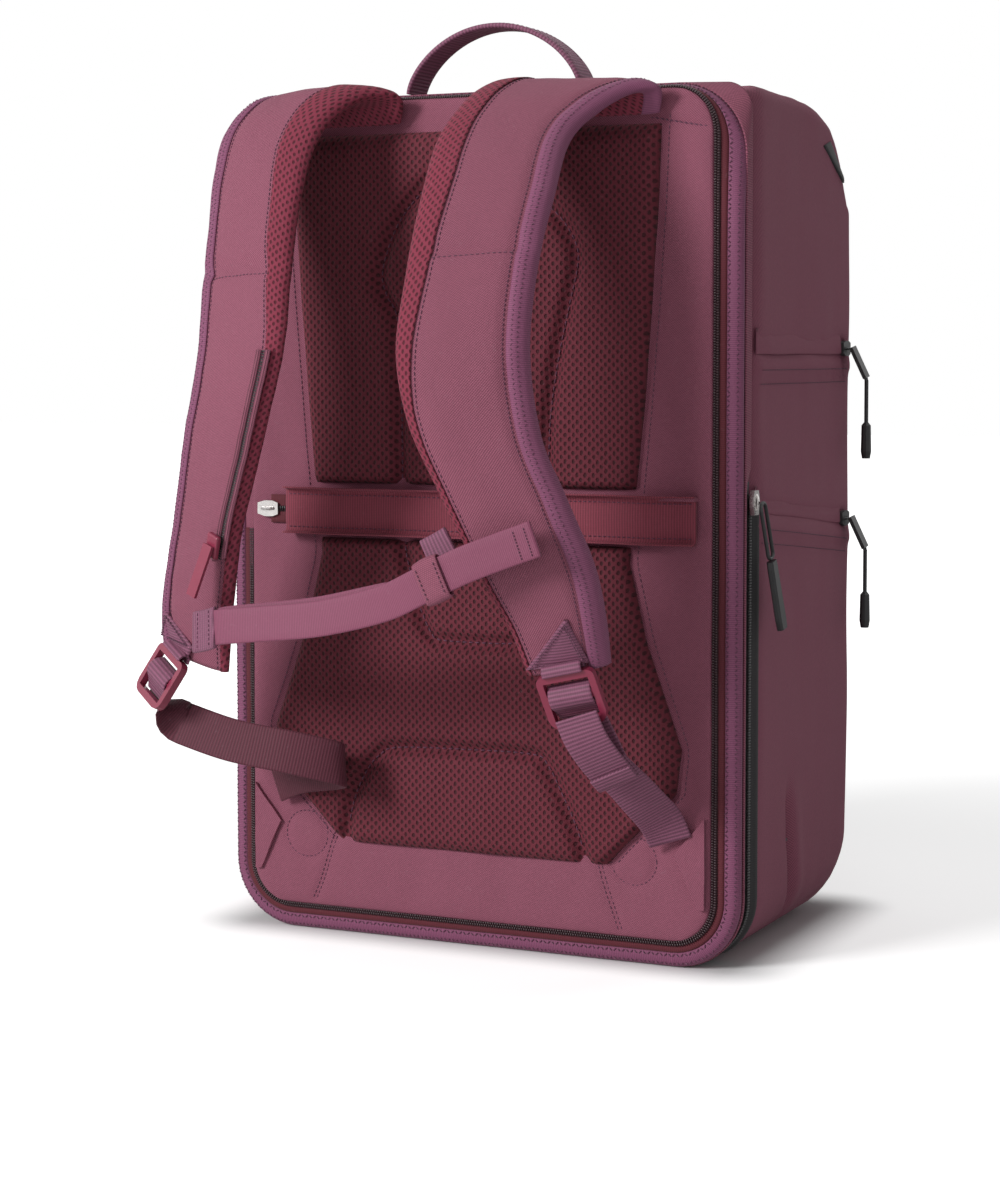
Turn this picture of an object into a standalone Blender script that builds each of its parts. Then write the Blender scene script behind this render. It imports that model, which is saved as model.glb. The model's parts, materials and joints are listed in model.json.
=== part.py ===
# Travel backpack with a zip-on harness panel, side pockets and padded shoulder straps.
# Frame: origin at the centre of the flat base, +Z up, the harness faces -Y, metres.

from math import cos, pi, radians, sin

import bmesh
import bpy
from mathutils import Matrix, Vector

# ---- Driving dimensions ------------------------------------------

bag_width = 0.328
bag_height = 0.500
bag_depth = 0.215
rim_corner = 0.040  # corner radius of the harness side
base_corner = 0.038  # corner radius along the bottom edges of the body
top_corner = 0.014  # corner radius along the top edges of the body
front_corner = 0.045  # radius between the base and the front
front_round = 0.020  # radius of the front's upright edges
top_flat = 0.090  # level stretch of the top, from the harness side
top_drop = 0.052  # how far the sloping top falls towards the front
wall = 0.003
gap = 0.0004  # clearance between touching pieces

binding_width = 0.0125
tape_width = 0.0045
coil_width = 0.0052
panel_thickness = 0.0025
sheet_thickness = 0.0015
gusset_depth = 0.0130
main_tape_width = 0.0060
main_zip_share = 0.544  # share of the height at which the zip round the lower half ends
rim_thickness = 0.0040

hinge_low_share = 0.44  # the cloth hinge of the panel starts at this share of the height
hinge_top_margin = 0.060

tray_depth = 0.034
tray_wall = 0.0015
sleeve_share = 0.56  # height of the sleeve as a share of the bag
sleeve_set_back = 0.012

band_height = 0.026
band_share = 0.511
band_clearance = 0.0058  # room for the slider between panel and band
band_thickness = 0.0012
band_margin = 0.003  # from the band's edges to the pads above and below it
band_end_inset = 0.043
flat_chain = 0.0012  # thickness of a zip chain that lies flat on the panel
foam_thickness = 0.0050
mesh_thickness = 0.0018

webbing_width = 0.025
webbing_thickness = 0.0016
strap_core = 0.013  # thickness of a shoulder pad
lining_thickness = 0.0022
lock_width = 0.034
lock_length = 0.032
lock_thickness = 0.0045
lock_bar = 0.0042
sternum_width = 0.020
sternum_thickness = 0.0028
cuff_wall = 0.0010

upper_seam_share = 0.704
lower_seam_share = 0.524
upper_floor_share = 0.544  # where the upper side pocket's floor lies
lower_floor = 0.060
seam_fall = 0.016  # the lower seam drops this much towards the front
pocket_start = 0.0335  # distance of the pocket zips from the harness side
pocket_length = 0.161
slot_height = 0.0070
pocket_depth = 0.028
flap_height = 0.0056

slider_length = 0.0140
slider_width = 0.0095
slider_thickness = 0.0042
bridge_rise = 0.0013

handle_span = 0.112
handle_rise = 0.0385
handle_centre = 0.007
handle_setback = 0.0345  # front edge of the handle, from the harness side

drawn_width = 0.328  # the tables of places below were drawn for a bag of this width and height
drawn_height = 0.500

# ---- Places worked out from them ---------------------------------

half_width = bag_width / 2
rear = -bag_depth / 2
front = bag_depth / 2
zip_inset = binding_width + gap
coil_inset = zip_inset + tape_width
row_end = coil_inset + coil_width / 2
cover_inset = row_end + gap + coil_width / 2 + gap
gusset_start = rear + rim_thickness + gap
gusset_end = gusset_start + gusset_depth
main_tape_start = gusset_end + gap
main_tape_end = main_tape_start + main_tape_width
shell_start = main_tape_end + gap
hinge_x = -half_width + binding_width + gap
panel_half = half_width - cover_inset
tray_start = rear + panel_thickness + sheet_thickness + 0.0030
hinge_low = bag_height * hinge_low_share
hinge_high = bag_height - hinge_top_margin
main_zip_top = bag_height * main_zip_share
band_centre = bag_height * band_share
upper_seam = bag_height * upper_seam_share
lower_seam = bag_height * lower_seam_share
upper_floor = bag_height * upper_floor_share
sleeve_height = bag_height * sleeve_share


def across(x):
    """A distance from the middle of a table, for this bag's width."""
    return x * bag_width / drawn_width


def level(z):
    """A height, or a drop from the top, of a table, for this bag's height."""
    return z * bag_height / drawn_height


# ---- Collections and materials -----------------------------------

for old in list(bpy.data.objects):
    bpy.data.objects.remove(old, do_unlink=True)

part_collection = bpy.data.collections.new("travel_backpack")
cutter_collection = bpy.data.collections.new("cutters")
bpy.context.scene.collection.children.link(part_collection)
bpy.context.scene.collection.children.link(cutter_collection)
cutter_collection.hide_render = True


def make_material(name, colour, roughness, metallic=0.0):
    material = bpy.data.materials.new(name)
    material.use_nodes = True
    shader = material.node_tree.nodes["Principled BSDF"]
    shader.inputs["Base Color"].default_value = (*colour, 1.0)
    shader.inputs["Roughness"].default_value = roughness
    shader.inputs["Metallic"].default_value = metallic
    return material


finishes = {
    "twill": ((0.27, 0.11, 0.16), 0.75, 0.0),
    "binding": ((0.25, 0.12, 0.23), 0.70, 0.0),
    "mesh": ((0.13, 0.025, 0.035), 0.85, 0.0),
    "foam": ((0.20, 0.20, 0.21), 0.90, 0.0),
    "webbing": ((0.24, 0.08, 0.14), 0.65, 0.0),
    "lining": ((0.10, 0.10, 0.11), 0.80, 0.0),
    "board": ((0.55, 0.56, 0.58), 0.60, 0.0),
    "black_tape": ((0.02, 0.02, 0.022), 0.60, 0.0),
    "wine_plastic": ((0.30, 0.04, 0.09), 0.40, 0.0),
    "black_rubber": ((0.02, 0.02, 0.022), 0.50, 0.0),
    "silver": ((0.62, 0.61, 0.60), 0.30, 1.0),
}


def give_material(node, finish):
    colour, roughness, metallic = finishes[finish]
    node.data.materials.clear()
    node.data.materials.append(make_material(node.name + "_" + finish, colour, roughness, metallic))


# ---- Curves and outlines -----------------------------------------


def smooth_path(points, steps):
    """Catmull-Rom curve through points of any size, as lists of floats."""
    found = []
    for i in range(len(points) - 1):
        before = points[max(i - 1, 0)]
        start = points[i]
        end = points[i + 1]
        after = points[min(i + 2, len(points) - 1)]
        for step in range(steps):
            t = step / steps
            found.append(
                [
                    0.5
                    * (
                        2 * b
                        + (c - a) * t
                        + (2 * a - 5 * b + 4 * c - d) * t * t
                        + (3 * b - a - 3 * c + d) * t**3
                    )
                    for a, b, c, d in zip(before, start, end, after)
                ]
            )
    found.append(list(points[-1]))
    return found


def arc(centre_x, centre_z, radius, start, end, steps):
    """Points of an arc, angles in degrees from +X towards +Z."""
    angles = [radians(start + (end - start) * i / steps) for i in range(steps + 1)]
    return [(centre_x + radius * cos(a), centre_z + radius * sin(a)) for a in angles]


def rounded_outline(inset, bottom_radius, top_radius, steps=6, low=0.0, high=None):
    """The bag's outline seen from the harness side, drawn in by inset, from the lower right corner."""
    high = bag_height if high is None else high
    x = half_width - inset
    z_low = low + inset
    z_high = high - inset
    rb = max(bottom_radius - inset, 0.002)
    rt = max(top_radius - inset, 0.002)
    points = arc(x - rb, z_low + rb, rb, -90, 0, steps)
    points += arc(x - rt, z_high - rt, rt, 0, 90, steps)
    points += arc(-x + rt, z_high - rt, rt, 90, 180, steps)
    points += arc(-x + rb, z_low + rb, rb, 180, 270, steps)
    return points


def panel_strip(outer_inset, inner_inset, steps=6):
    """A strip along the rim that leaves out the cloth hinge on the left."""
    sides = []
    for inset in (outer_inset, inner_inset):
        points = rounded_outline(inset, rim_corner, rim_corner, steps)
        last = len(points) - steps - 1
        upper = points[:last] + [(-half_width + inset, hinge_high)]
        lower = [(-half_width + inset, hinge_low)] + points[last:]
        sides.append(lower + upper)
    return sides[0] + sides[1][::-1]


def lower_strip(outer_inset, inner_inset, height, steps=6):
    """A strip along the sides and the bottom, up to the height."""
    sides = []
    for inset in (outer_inset, inner_inset):
        x = half_width - inset
        radius = base_corner - inset
        points = [(-x, height)]
        points += arc(-x + radius, inset + radius, radius, 180, 270, steps)
        points += arc(x - radius, inset + radius, radius, -90, 0, steps)
        points += [(x, height)]
        sides.append(points)
    return sides[0] + sides[1][::-1]


# ---- Builders ----------------------------------------------------


def add_node(name, mesh, finish, collection=part_collection):
    node = bpy.data.objects.new(name, mesh)
    collection.objects.link(node)
    if collection is part_collection:
        give_material(node, finish)
    return node


def mesh_from_bmesh(bm, name):
    bmesh.ops.recalc_face_normals(bm, faces=bm.faces)
    mesh = bpy.data.meshes.new(name)
    bm.to_mesh(mesh)
    bm.free()
    return mesh


def loft(name, sections, finish, caps=True, collection=part_collection):
    """Skins closed sections of equal point counts; a last section equal to the first closes a ring."""
    bm = bmesh.new()
    rings = [[bm.verts.new(point) for point in section] for section in sections]
    for first, second in zip(rings, rings[1:]):
        for i in range(len(first)):
            j = (i + 1) % len(first)
            bm.faces.new((first[i], first[j], second[j], second[i]))
    if caps:
        bm.faces.new(rings[0])
        bm.faces.new(rings[-1])
    elif sections[0] == sections[-1]:
        bmesh.ops.remove_doubles(bm, verts=rings[0] + rings[-1], dist=0.00001)
    return add_node(name, mesh_from_bmesh(bm, name), finish, collection)


def plate(name, loops, y_start, y_end, finish, collection=part_collection):
    """A flat piece with outlines in X and Z, holes included, from y_start to y_end."""
    curve = bpy.data.curves.new(name, "CURVE")
    curve.dimensions = "2D"
    curve.fill_mode = "BOTH"
    curve.extrude = (y_end - y_start) / 2
    for points in loops:
        spline = curve.splines.new("POLY")
        spline.points.add(len(points) - 1)
        for target, (x, z) in zip(spline.points, points):
            target.co = (x, z, 0.0, 1.0)
        spline.use_cyclic_u = True
    holder = bpy.data.objects.new(name + "_outline", curve)
    cutter_collection.objects.link(holder)
    holder.rotation_euler = (pi / 2, 0, 0)
    holder.location = (0, (y_start + y_end) / 2, 0)
    bpy.context.view_layer.update()
    graph = bpy.context.evaluated_depsgraph_get()
    mesh = bpy.data.meshes.new_from_object(holder.evaluated_get(graph))
    mesh.transform(holder.matrix_world)
    bpy.data.objects.remove(holder, do_unlink=True)
    bm = bmesh.new()
    bm.from_mesh(mesh)
    bpy.data.meshes.remove(mesh)
    bmesh.ops.remove_doubles(bm, verts=bm.verts, dist=0.00001)
    return add_node(name, mesh_from_bmesh(bm, name), finish, collection)


def block(name, low, high, finish, bevel=0.0, collection=part_collection):
    """A box between two corners with its edges rounded."""
    bm = bmesh.new()
    bmesh.ops.create_cube(bm, size=1.0)
    size = Vector(high) - Vector(low)
    bmesh.ops.scale(bm, vec=size, verts=bm.verts)
    bmesh.ops.translate(bm, vec=(Vector(high) + Vector(low)) / 2, verts=bm.verts)
    node = add_node(name, mesh_from_bmesh(bm, name), finish, collection)
    if bevel:
        rounding = node.modifiers.new("rounding", "BEVEL")
        rounding.width = bevel
        rounding.segments = 2
    return node


def sweep(name, stations, outline, finish):
    """Carries an outline of (across, outward) points along stations of (centre, across, outward)."""
    sections = []
    for i, (centre, across, outward) in enumerate(stations):
        points = outline(i / (len(stations) - 1)) if callable(outline) else outline
        sections.append([centre + across * u + outward * v for u, v in points])
    return loft(name, sections, finish)


def path_stations(centres, across_hints, square=True):
    """Frames along a path: across follows the hint, square to the path or not, outward is normal to both."""
    stations = []
    for i, centre in enumerate(centres):
        tangent = (centres[min(i + 1, len(centres) - 1)] - centres[max(i - 1, 0)]).normalized()
        across = Vector(across_hints[i])
        if square:
            across = across - tangent * across.dot(tangent)
        across = across.normalized()
        stations.append((centre, across, tangent.cross(across).normalized()))
    return stations


def rectangle(u, v):
    return [(-u, -v), (u, -v), (u, v), (-u, v)]


def ribbon(name, points, width, thickness, finish, steps=4):
    """Flat webbing along points of (x, y, z, across x, across y, across z)."""
    samples = smooth_path(points, steps)
    centres = [Vector(sample[:3]) for sample in samples]
    stations = path_stations(centres, [sample[3:6] for sample in samples])
    return sweep(name, stations, rectangle(width / 2, thickness / 2), finish)


def tube(name, points, radius, finish):
    """A round cord or wire through the points."""
    curve = bpy.data.curves.new(name, "CURVE")
    curve.dimensions = "3D"
    curve.bevel_depth = radius
    curve.bevel_resolution = 2
    curve.use_fill_caps = True
    spline = curve.splines.new("POLY")
    spline.points.add(len(points) - 1)
    for target, point in zip(spline.points, points):
        target.co = (*point, 1.0)
    node = bpy.data.objects.new(name, curve)
    part_collection.objects.link(node)
    give_material(node, finish)
    return node


def to_mesh(node):
    """Replaces a curve node by its welded mesh."""
    bpy.context.view_layer.update()
    graph = bpy.context.evaluated_depsgraph_get()
    mesh = bpy.data.meshes.new_from_object(node.evaluated_get(graph))
    name = node.name
    material = node.data.materials[0]
    place = node.matrix_world.copy()
    bpy.data.objects.remove(node, do_unlink=True)
    bm = bmesh.new()
    bm.from_mesh(mesh)
    bpy.data.meshes.remove(mesh)
    bmesh.ops.remove_doubles(bm, verts=bm.verts, dist=0.00001)
    made = bpy.data.objects.new(name, mesh_from_bmesh(bm, name))
    made.data.materials.append(material)
    made.matrix_world = place
    part_collection.objects.link(made)
    return made


def move_origin(node, point):
    """Puts the node's origin on its joint axis, with its shape where it was."""
    node.data.transform(Matrix.Translation(-Vector(point)))
    node.location = Vector(point)


def boolean(node, other, operation):
    modifier = node.modifiers.new(operation.lower(), "BOOLEAN")
    modifier.operation = operation
    modifier.object = other
    modifier.solver = "EXACT"
    return modifier


def cutter(node):
    node.display_type = "WIRE"
    node.hide_render = True
    return node


# ---- Body: shell, gusset, rim ------------------------------------


def shell_top(y):
    """Height of the top at a depth: level, then falling towards the front."""
    start = rear + top_flat
    fall = max(0.0, (y - start) / (front - front_round - start))
    return bag_height - top_drop * min(fall, 1.0)


def shell_section(y):
    """Outline of the body at a depth, drawn in where it rounds into the front."""
    low = 0.0
    base_start = front - front_corner
    if y > base_start:
        low = front_corner - (front_corner**2 - (y - base_start) ** 2) ** 0.5
    inset = 0.0
    edge_start = front - front_round
    if y > edge_start:
        inset = front_round - (front_round**2 - (y - edge_start) ** 2) ** 0.5
    low = max(low - inset, 0.0)
    along = min(1.0, max(0.0, (y - shell_start) / (front - shell_start)))
    top_radius = top_corner + along * 0.012 + inset
    outline = rounded_outline(inset, base_corner + inset * 0.4, top_radius, 6, low, shell_top(y))
    return [(x, y, z) for x, z in outline]


def build_shell():
    depths = [shell_start, -0.060, rear + top_flat, 0.020, 0.050]
    rounding_steps = 6
    for i in range(rounding_steps + 1):
        angle = radians(90 * i / rounding_steps * 0.93)
        depths.append(front - front_round + front_round * sin(angle))
    sections = [shell_section(y) for y in depths]
    node = loft("front_shell", sections, "twill", caps=False)
    bm = bmesh.new()
    bm.from_mesh(node.data)
    front_edges = [e for e in bm.edges if e.is_boundary and e.verts[0].co.y > 0]
    bmesh.ops.contextual_create(bm, geom=front_edges)
    bmesh.ops.recalc_face_normals(bm, faces=bm.faces)
    bm.to_mesh(node.data)
    bm.free()
    front_faces = [face for face in node.data.polygons if face.center.y > front - 0.005]
    if sum(face.normal.y for face in front_faces) < 0:
        node.data.flip_normals()
    skin = node.modifiers.new("skin", "SOLIDIFY")
    skin.thickness = wall
    skin.offset = -1.0
    skin.use_even_offset = True
    for name, seam in (("upper", upper_seam), ("lower", lower_seam)):
        fall = 0.0 if name == "upper" else seam_fall
        boolean(node, slot_cutter(name, seam, fall), "DIFFERENCE")
    return node


def slot_cutter(name, seam, fall):
    """The slit of a side pocket through the right side of the shell."""
    start = rear + pocket_start
    end = start + pocket_length
    reach = half_width + 0.004
    sections = []
    for x in (half_width - wall - 0.006, reach):
        sections.append(
            [
                (x, start, seam - slot_height / 2),
                (x, end, seam - slot_height / 2 - fall),
                (x, end, seam + slot_height / 2 - fall),
                (x, start, seam + slot_height / 2),
            ]
        )
    return cutter(loft(name + "_slot_cutter", sections, None, collection=cutter_collection))


def build_rim():
    outer = rounded_outline(0.0, rim_corner, rim_corner)
    inner = rounded_outline(binding_width, rim_corner, rim_corner)
    plate("rim_binding", [outer, inner], rear, rear + rim_thickness, "binding")
    start = rear + 0.0006
    strip = panel_strip(zip_inset, coil_inset)
    plate("panel_zip_tape", [strip], start, start + flat_chain, "black_tape")
    strip = panel_strip(coil_inset + gap, row_end)
    plate("panel_zip_outer_chain", [strip], rear + 0.0002, start + 0.0016, "black_tape")
    sections = []
    for inset, shares in ((0.0, (0.0, 0.5, 1.0)), (wall, (1.0, 0.5, 0.0))):
        for share in shares:
            y = gusset_start + gusset_depth * share
            top = rim_corner + (top_corner - rim_corner) * share
            base = rim_corner + (base_corner - rim_corner) * share
            sections.append([(x, y, z) for x, z in rounded_outline(inset, base, top)])
    loft("rear_gusset", sections + sections[:1], "twill", caps=False)


def build_main_zip():
    outer = rounded_outline(0.0022, base_corner, top_corner)
    inner = rounded_outline(0.0034, base_corner, top_corner)
    plate("main_zip_tape", [outer, inner], main_tape_start, main_tape_end, "twill")
    middle = (main_tape_start + main_tape_end) / 2
    strip = lower_strip(0.0003, 0.0018, main_zip_top)
    plate("main_zip_chain", [strip], middle - 0.0022, middle + 0.0022, "black_tape")
    return middle


def build_inner_pieces():
    inset = 0.0034 + gap
    outer = rounded_outline(inset, base_corner, rim_corner + 0.004)
    inner = rounded_outline(inset + tray_wall, base_corner, rim_corner + 0.004)
    back = tray_start + tray_depth
    node = plate("laptop_tray", [outer], tray_start, back, "lining")
    hollow = plate("tray_cutter", [inner], tray_start - 0.002, back - tray_wall, None, cutter_collection)
    boolean(node, cutter(hollow), "DIFFERENCE")
    low = inset + tray_wall + gap
    sleeve_y = tray_start + sleeve_set_back
    half = half_width - rim_corner
    outline = [(-half, low), (half, low), (half, low + sleeve_height), (-half, low + sleeve_height)]
    plate("laptop_sleeve", [outline], sleeve_y, sleeve_y + tray_wall, "lining")
    board_start = back + 0.004
    board_end = front - front_corner - 0.012
    block(
        "base_board",
        (-half_width + base_corner, board_start, wall + gap),
        (half_width - base_corner, board_end, wall + gap + 0.002),
        "board",
    )


# ---- Side pockets ------------------------------------------------


def build_side_pocket(name, seam, fall, floor):
    """Zip chain in the slit, storm flap over it and the lining behind it, then the slider and its pull."""
    start = rear + pocket_start
    end = start + pocket_length
    x = half_width
    chain = []
    half = slot_height / 2 - gap
    for y, drop in ((start + gap, 0.0), (end - gap, fall)):
        chain.append(
            [
                (x - 0.0022, y, seam - half - drop),
                (x - 0.0002, y, seam - half - drop),
                (x - 0.0002, y, seam + half - drop),
                (x - 0.0022, y, seam + half - drop),
            ]
        )
    loft(name + "_zip_chain", chain, "black_tape")
    flap = []
    flap_low = seam + slider_width / 2 + 2 * gap
    for share in (0.0, 0.45, 0.9):
        y = start - 0.004 + pocket_length * share
        low = flap_low - fall * share
        top = low + flap_height
        flap.append([(x + gap, y, low), (x + 0.0022, y, low), (x + 0.0012, y, top), (x + gap, y, top)])
    loft(name + "_storm_flap", flap, "twill")
    outer_x = half_width - wall - gap
    inner_start = tray_start + tray_depth + 0.002
    node = block(
        name + "_lining",
        (outer_x - pocket_depth, inner_start, floor),
        (outer_x, end - 0.012, seam + slot_height - fall),
        "lining",
    )
    hollow = block(
        name + "_lining_cutter",
        (outer_x - pocket_depth + tray_wall, inner_start + tray_wall, floor + tray_wall),
        (outer_x + 0.002, end - 0.012 - tray_wall, seam + slot_height - fall - tray_wall),
        None,
        collection=cutter_collection,
    )
    boolean(node, cutter(hollow), "DIFFERENCE")
    slider_y = end - slider_length / 2 - 0.001
    slider_z = seam - fall * (slider_y - start) / pocket_length
    base_x = x + gap
    build_slider(name + "_slider", Vector((base_x, slider_y, slider_z)), "y", "black_rubber")
    pivot = Vector((base_x + slider_thickness + 0.0022, slider_y, slider_z))
    lean = Vector((0.40, 0.12, -0.91)).normalized()
    tab_end = pivot + lean * 0.020
    points = [(*(pivot + lean * reach), 0, 1, 0) for reach in (-0.001, 0.010, 0.020)]
    tab = ribbon(name + "_pull_tab", points, 0.009, 0.0022, "black_rubber", 1)
    grip = taper(
        name + "_pull_cord",
        tab_end + Vector((0, 0, -0.0014)),
        [(0.0013, 0.0), (0.0013, 0.026), (0.0030, 0.028), (0.0034, 0.044), (0.0026, 0.0485)],
        "black_rubber",
    )
    for node in (tab, grip):
        move_origin(node, pivot)


def taper(name, top, profile, finish):
    """A turned grip hanging below top: profile of (radius, depth)."""
    sections = []
    for radius, depth in profile:
        ring = [
            (
                top.x + radius * cos(2 * pi * i / 10),
                top.y + radius * sin(2 * pi * i / 10),
                top.z - depth,
            )
            for i in range(10)
        ]
        sections.append(ring)
    return loft(name, sections, finish)


def build_slider(name, base, travel, finish):
    """A zip slider on a face: base is the middle of its foot. It stands towards +X or -Y."""
    half = slider_length / 2
    narrow = slider_width * 0.36
    wide = slider_width / 2
    outline = [(-half, -wide * 0.7), (-half, wide * 0.7), (-half * 0.3, wide)]
    outline += [(half * 0.45, wide), (half, narrow), (half, -narrow)]
    outline += [(half * 0.45, -wide), (-half * 0.3, -wide)]
    body_height = slider_thickness * 0.62
    bridge = []
    for i in range(7):
        angle = pi * i / 6
        bridge.append((half * 0.62 * cos(angle), body_height - 0.0004 + bridge_rise * sin(angle)))

    def place(along, side, height):
        if travel == "y":
            return (base.x + height, base.y + along, base.z + side)
        if travel == "z":
            return (base.x + height, base.y + side, base.z + along)
        return (base.x + along, base.y - height, base.z + side)

    sections = [[place(a, s, 0.0) for a, s in outline], [place(a, s, body_height) for a, s in outline]]
    node = loft(name, sections, finish)
    radius = 0.0010
    ring_sections = []
    for i, (along, height) in enumerate(bridge):
        angle = pi * i / 6
        ring = []
        for k in range(6):
            turn = 2 * pi * k / 6
            ring.append(
                place(
                    along + radius * cos(turn) * cos(angle),
                    radius * sin(turn),
                    height + radius * cos(turn) * sin(angle),
                )
            )
        ring_sections.append(ring)
    loop = loft(name + "_bridge", ring_sections, None, collection=cutter_collection)
    boolean(node, cutter(loop), "UNION")
    return node


# ---- Main zip slider ---------------------------------------------


def build_main_slider(middle):
    base = Vector((half_width + 0.0004, middle, main_zip_top - slider_length / 2))
    build_slider("main_slider", base, "z", "silver")
    pivot = Vector((base.x + slider_thickness + 0.0018, middle, base.z))
    lean = Vector((0.10, 0.20, -1.0)).normalized()
    side = Vector((0.0, 1.0, 0.20)).normalized()
    reach = 0.030
    half = 0.0040
    loop = []
    for i in range(7):
        angle = pi * i / 6
        loop.append(pivot + side * (half * cos(angle)) + lean * (half - half * sin(angle)))
    low = []
    for i in range(7):
        angle = pi * i / 6
        low.append(pivot + lean * reach - side * (half * cos(angle)) + lean * (half * 0.6 * sin(angle)))
    ring = tube("main_pull_loop", [tuple(point) for point in loop + low], 0.0011, "silver")
    ring.data.splines[0].use_cyclic_u = True
    ring = to_mesh(ring)
    start = pivot + lean * (reach + half * 0.6 + 0.0011 + gap)
    outward = side.cross(lean).normalized()
    stations = []
    for share in (0.0, 0.1, 0.55, 0.85, 1.0):
        stations.append((start + lean * 0.040 * share, side, outward))

    def grip_outline(share):
        width = 0.0042 + 0.0016 * share if share < 0.99 else 0.0045
        thick = 0.0020
        return [
            (-width, -thick * 0.5),
            (-width * 0.7, -thick),
            (width * 0.7, -thick),
            (width, -thick * 0.5),
            (width, thick * 0.5),
            (width * 0.7, thick),
            (-width * 0.7, thick),
            (-width, thick * 0.5),
        ]

    grip = sweep("main_pull_grip", stations, grip_outline, "black_rubber")
    for node in (ring, grip):
        move_origin(node, pivot)


# ---- Top: handle, strip ------------------------------------------


def build_handle():
    front_edge = rear + handle_setback
    y = front_edge - webbing_width / 2
    pivot = Vector((handle_centre, front_edge, bag_height + 0.0012))
    points = []
    steps = 16
    half = handle_span / 2
    for i in range(steps + 1):
        angle = pi * i / steps
        flat = 0.86
        x = -half * cos(angle)
        z = handle_rise * (sin(angle) ** flat)
        points.append(Vector((handle_centre + x, y, bag_height + 0.0016 + z)))
    stations = path_stations(points, [(0, 1, 0)] * len(points))
    outline = rectangle(webbing_width / 2, webbing_thickness / 2)
    node = sweep("grab_handle", stations, outline, "webbing")
    move_origin(node, pivot)


def build_top_strip():
    """A black strip that runs across the sloping part of the top."""
    sections = []
    for x in (-half_width + top_corner + 0.014, half_width - top_corner - 0.014):
        low = []
        high = []
        for y in (0.040, 0.052, 0.064, 0.076):
            low.append((x, y, shell_top(y) + 0.0006))
            high.append((x, y, shell_top(y) + 0.0022))
        sections.append(low + high[::-1])
    loft("top_pocket_strip", sections, "black_tape")


# ---- Harness panel -----------------------------------------------


# The mesh back is an hourglass: height and half width.
mesh_knots = [
    (0.066, 0.094),
    (0.100, 0.128),
    (0.125, 0.131),
    (0.187, 0.109),
    (0.230, 0.099),
    (0.290, 0.102),
    (0.380, 0.108),
    (0.478, 0.112),
]


def mesh_edge(height):
    """Half width of the mesh back at a height."""
    knots = [(level(z), across(w)) for z, w in mesh_knots]
    for (z0, w0), (z1, w1) in zip(knots, knots[1:]):
        if height <= z1:
            return w0 + (w1 - w0) * (height - z0) / (z1 - z0)
    return knots[-1][1]


def hourglass(inset, low, high, steps=8):
    levels = [low + inset + (high - low - 2 * inset) * i / steps for i in range(steps + 1)]
    right = [(mesh_edge(z) - inset, z) for z in levels]
    left = [(-x, z) for x, z in right[::-1]]
    return right + left


def build_back_panel():
    face = rear
    outline = rounded_outline(cover_inset, rim_corner, rim_corner)
    plate("back_panel_cover", [outline], face, face + panel_thickness, "twill")
    strip = panel_strip(row_end + gap, cover_inset - gap)
    plate("panel_zip_inner_chain", [strip], rear + 0.0002, rear + 0.0022, "black_tape")
    hinge = [
        (hinge_x, hinge_low + gap),
        (-panel_half - gap, hinge_low + gap),
        (-panel_half - gap, hinge_high - gap),
        (hinge_x, hinge_high - gap),
    ]
    plate("panel_hinge_cloth", [hinge], rear + 0.0004, rear + 0.0014, "twill")
    sheet = rounded_outline(cover_inset + 0.010, rim_corner, rim_corner, low=level(0.052))
    back = face + panel_thickness + gap
    plate("frame_sheet", [sheet], back, back + sheet_thickness, "board")


def build_mesh_panels():
    band_low = band_centre - band_height / 2 - band_margin
    band_high = band_centre + band_height / 2 + band_margin
    spans = {"lower": (level(0.056), band_low), "upper": (band_high, bag_height - cover_inset - 0.007)}
    foam_face = rear - gap
    for name, (low, high) in spans.items():
        plate(
            name + "_back_foam",
            [hourglass(0.004, low, high)],
            foam_face - foam_thickness,
            foam_face,
            "foam",
        )
        skin_face = foam_face - foam_thickness - gap
        plate(
            name + "_back_mesh",
            [hourglass(0.0, low, high)],
            skin_face - mesh_thickness,
            skin_face,
            "mesh",
        )


def build_band():
    """The cover band over the hidden zip, with its chain and slider."""
    left = -half_width + band_end_inset
    right = panel_half - 0.0002
    chain_face = rear - gap
    chain = [
        (-panel_half + 0.006, band_centre - coil_width / 2),
        (right - 0.008, band_centre - coil_width / 2),
        (right - 0.008, band_centre + coil_width / 2),
        (-panel_half + 0.006, band_centre + coil_width / 2),
    ]
    plate("band_zip_chain", [chain], chain_face - flat_chain, chain_face, "black_tape")
    cover_face = rear - gap - flat_chain - gap - band_clearance
    half = band_height / 2
    outline = [(left, band_centre - half), (right, band_centre - half)]
    outline += [(right, band_centre + half), (left, band_centre + half)]
    plate("zip_cover_band", [outline], cover_face - band_thickness, cover_face, "webbing")
    seam = [(left, band_centre + half - 0.0022), (right, band_centre + half - 0.0022)]
    seam += [(right, band_centre + half), (left, band_centre + half)]
    plate("band_upper_seam", [seam], cover_face + gap, rear - gap, "webbing")
    base = Vector((left - slider_length / 2 - 0.008, chain_face - flat_chain - gap, band_centre))
    build_slider("band_slider", base, "x", "silver")


# ---- Shoulder straps ---------------------------------------------

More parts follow.
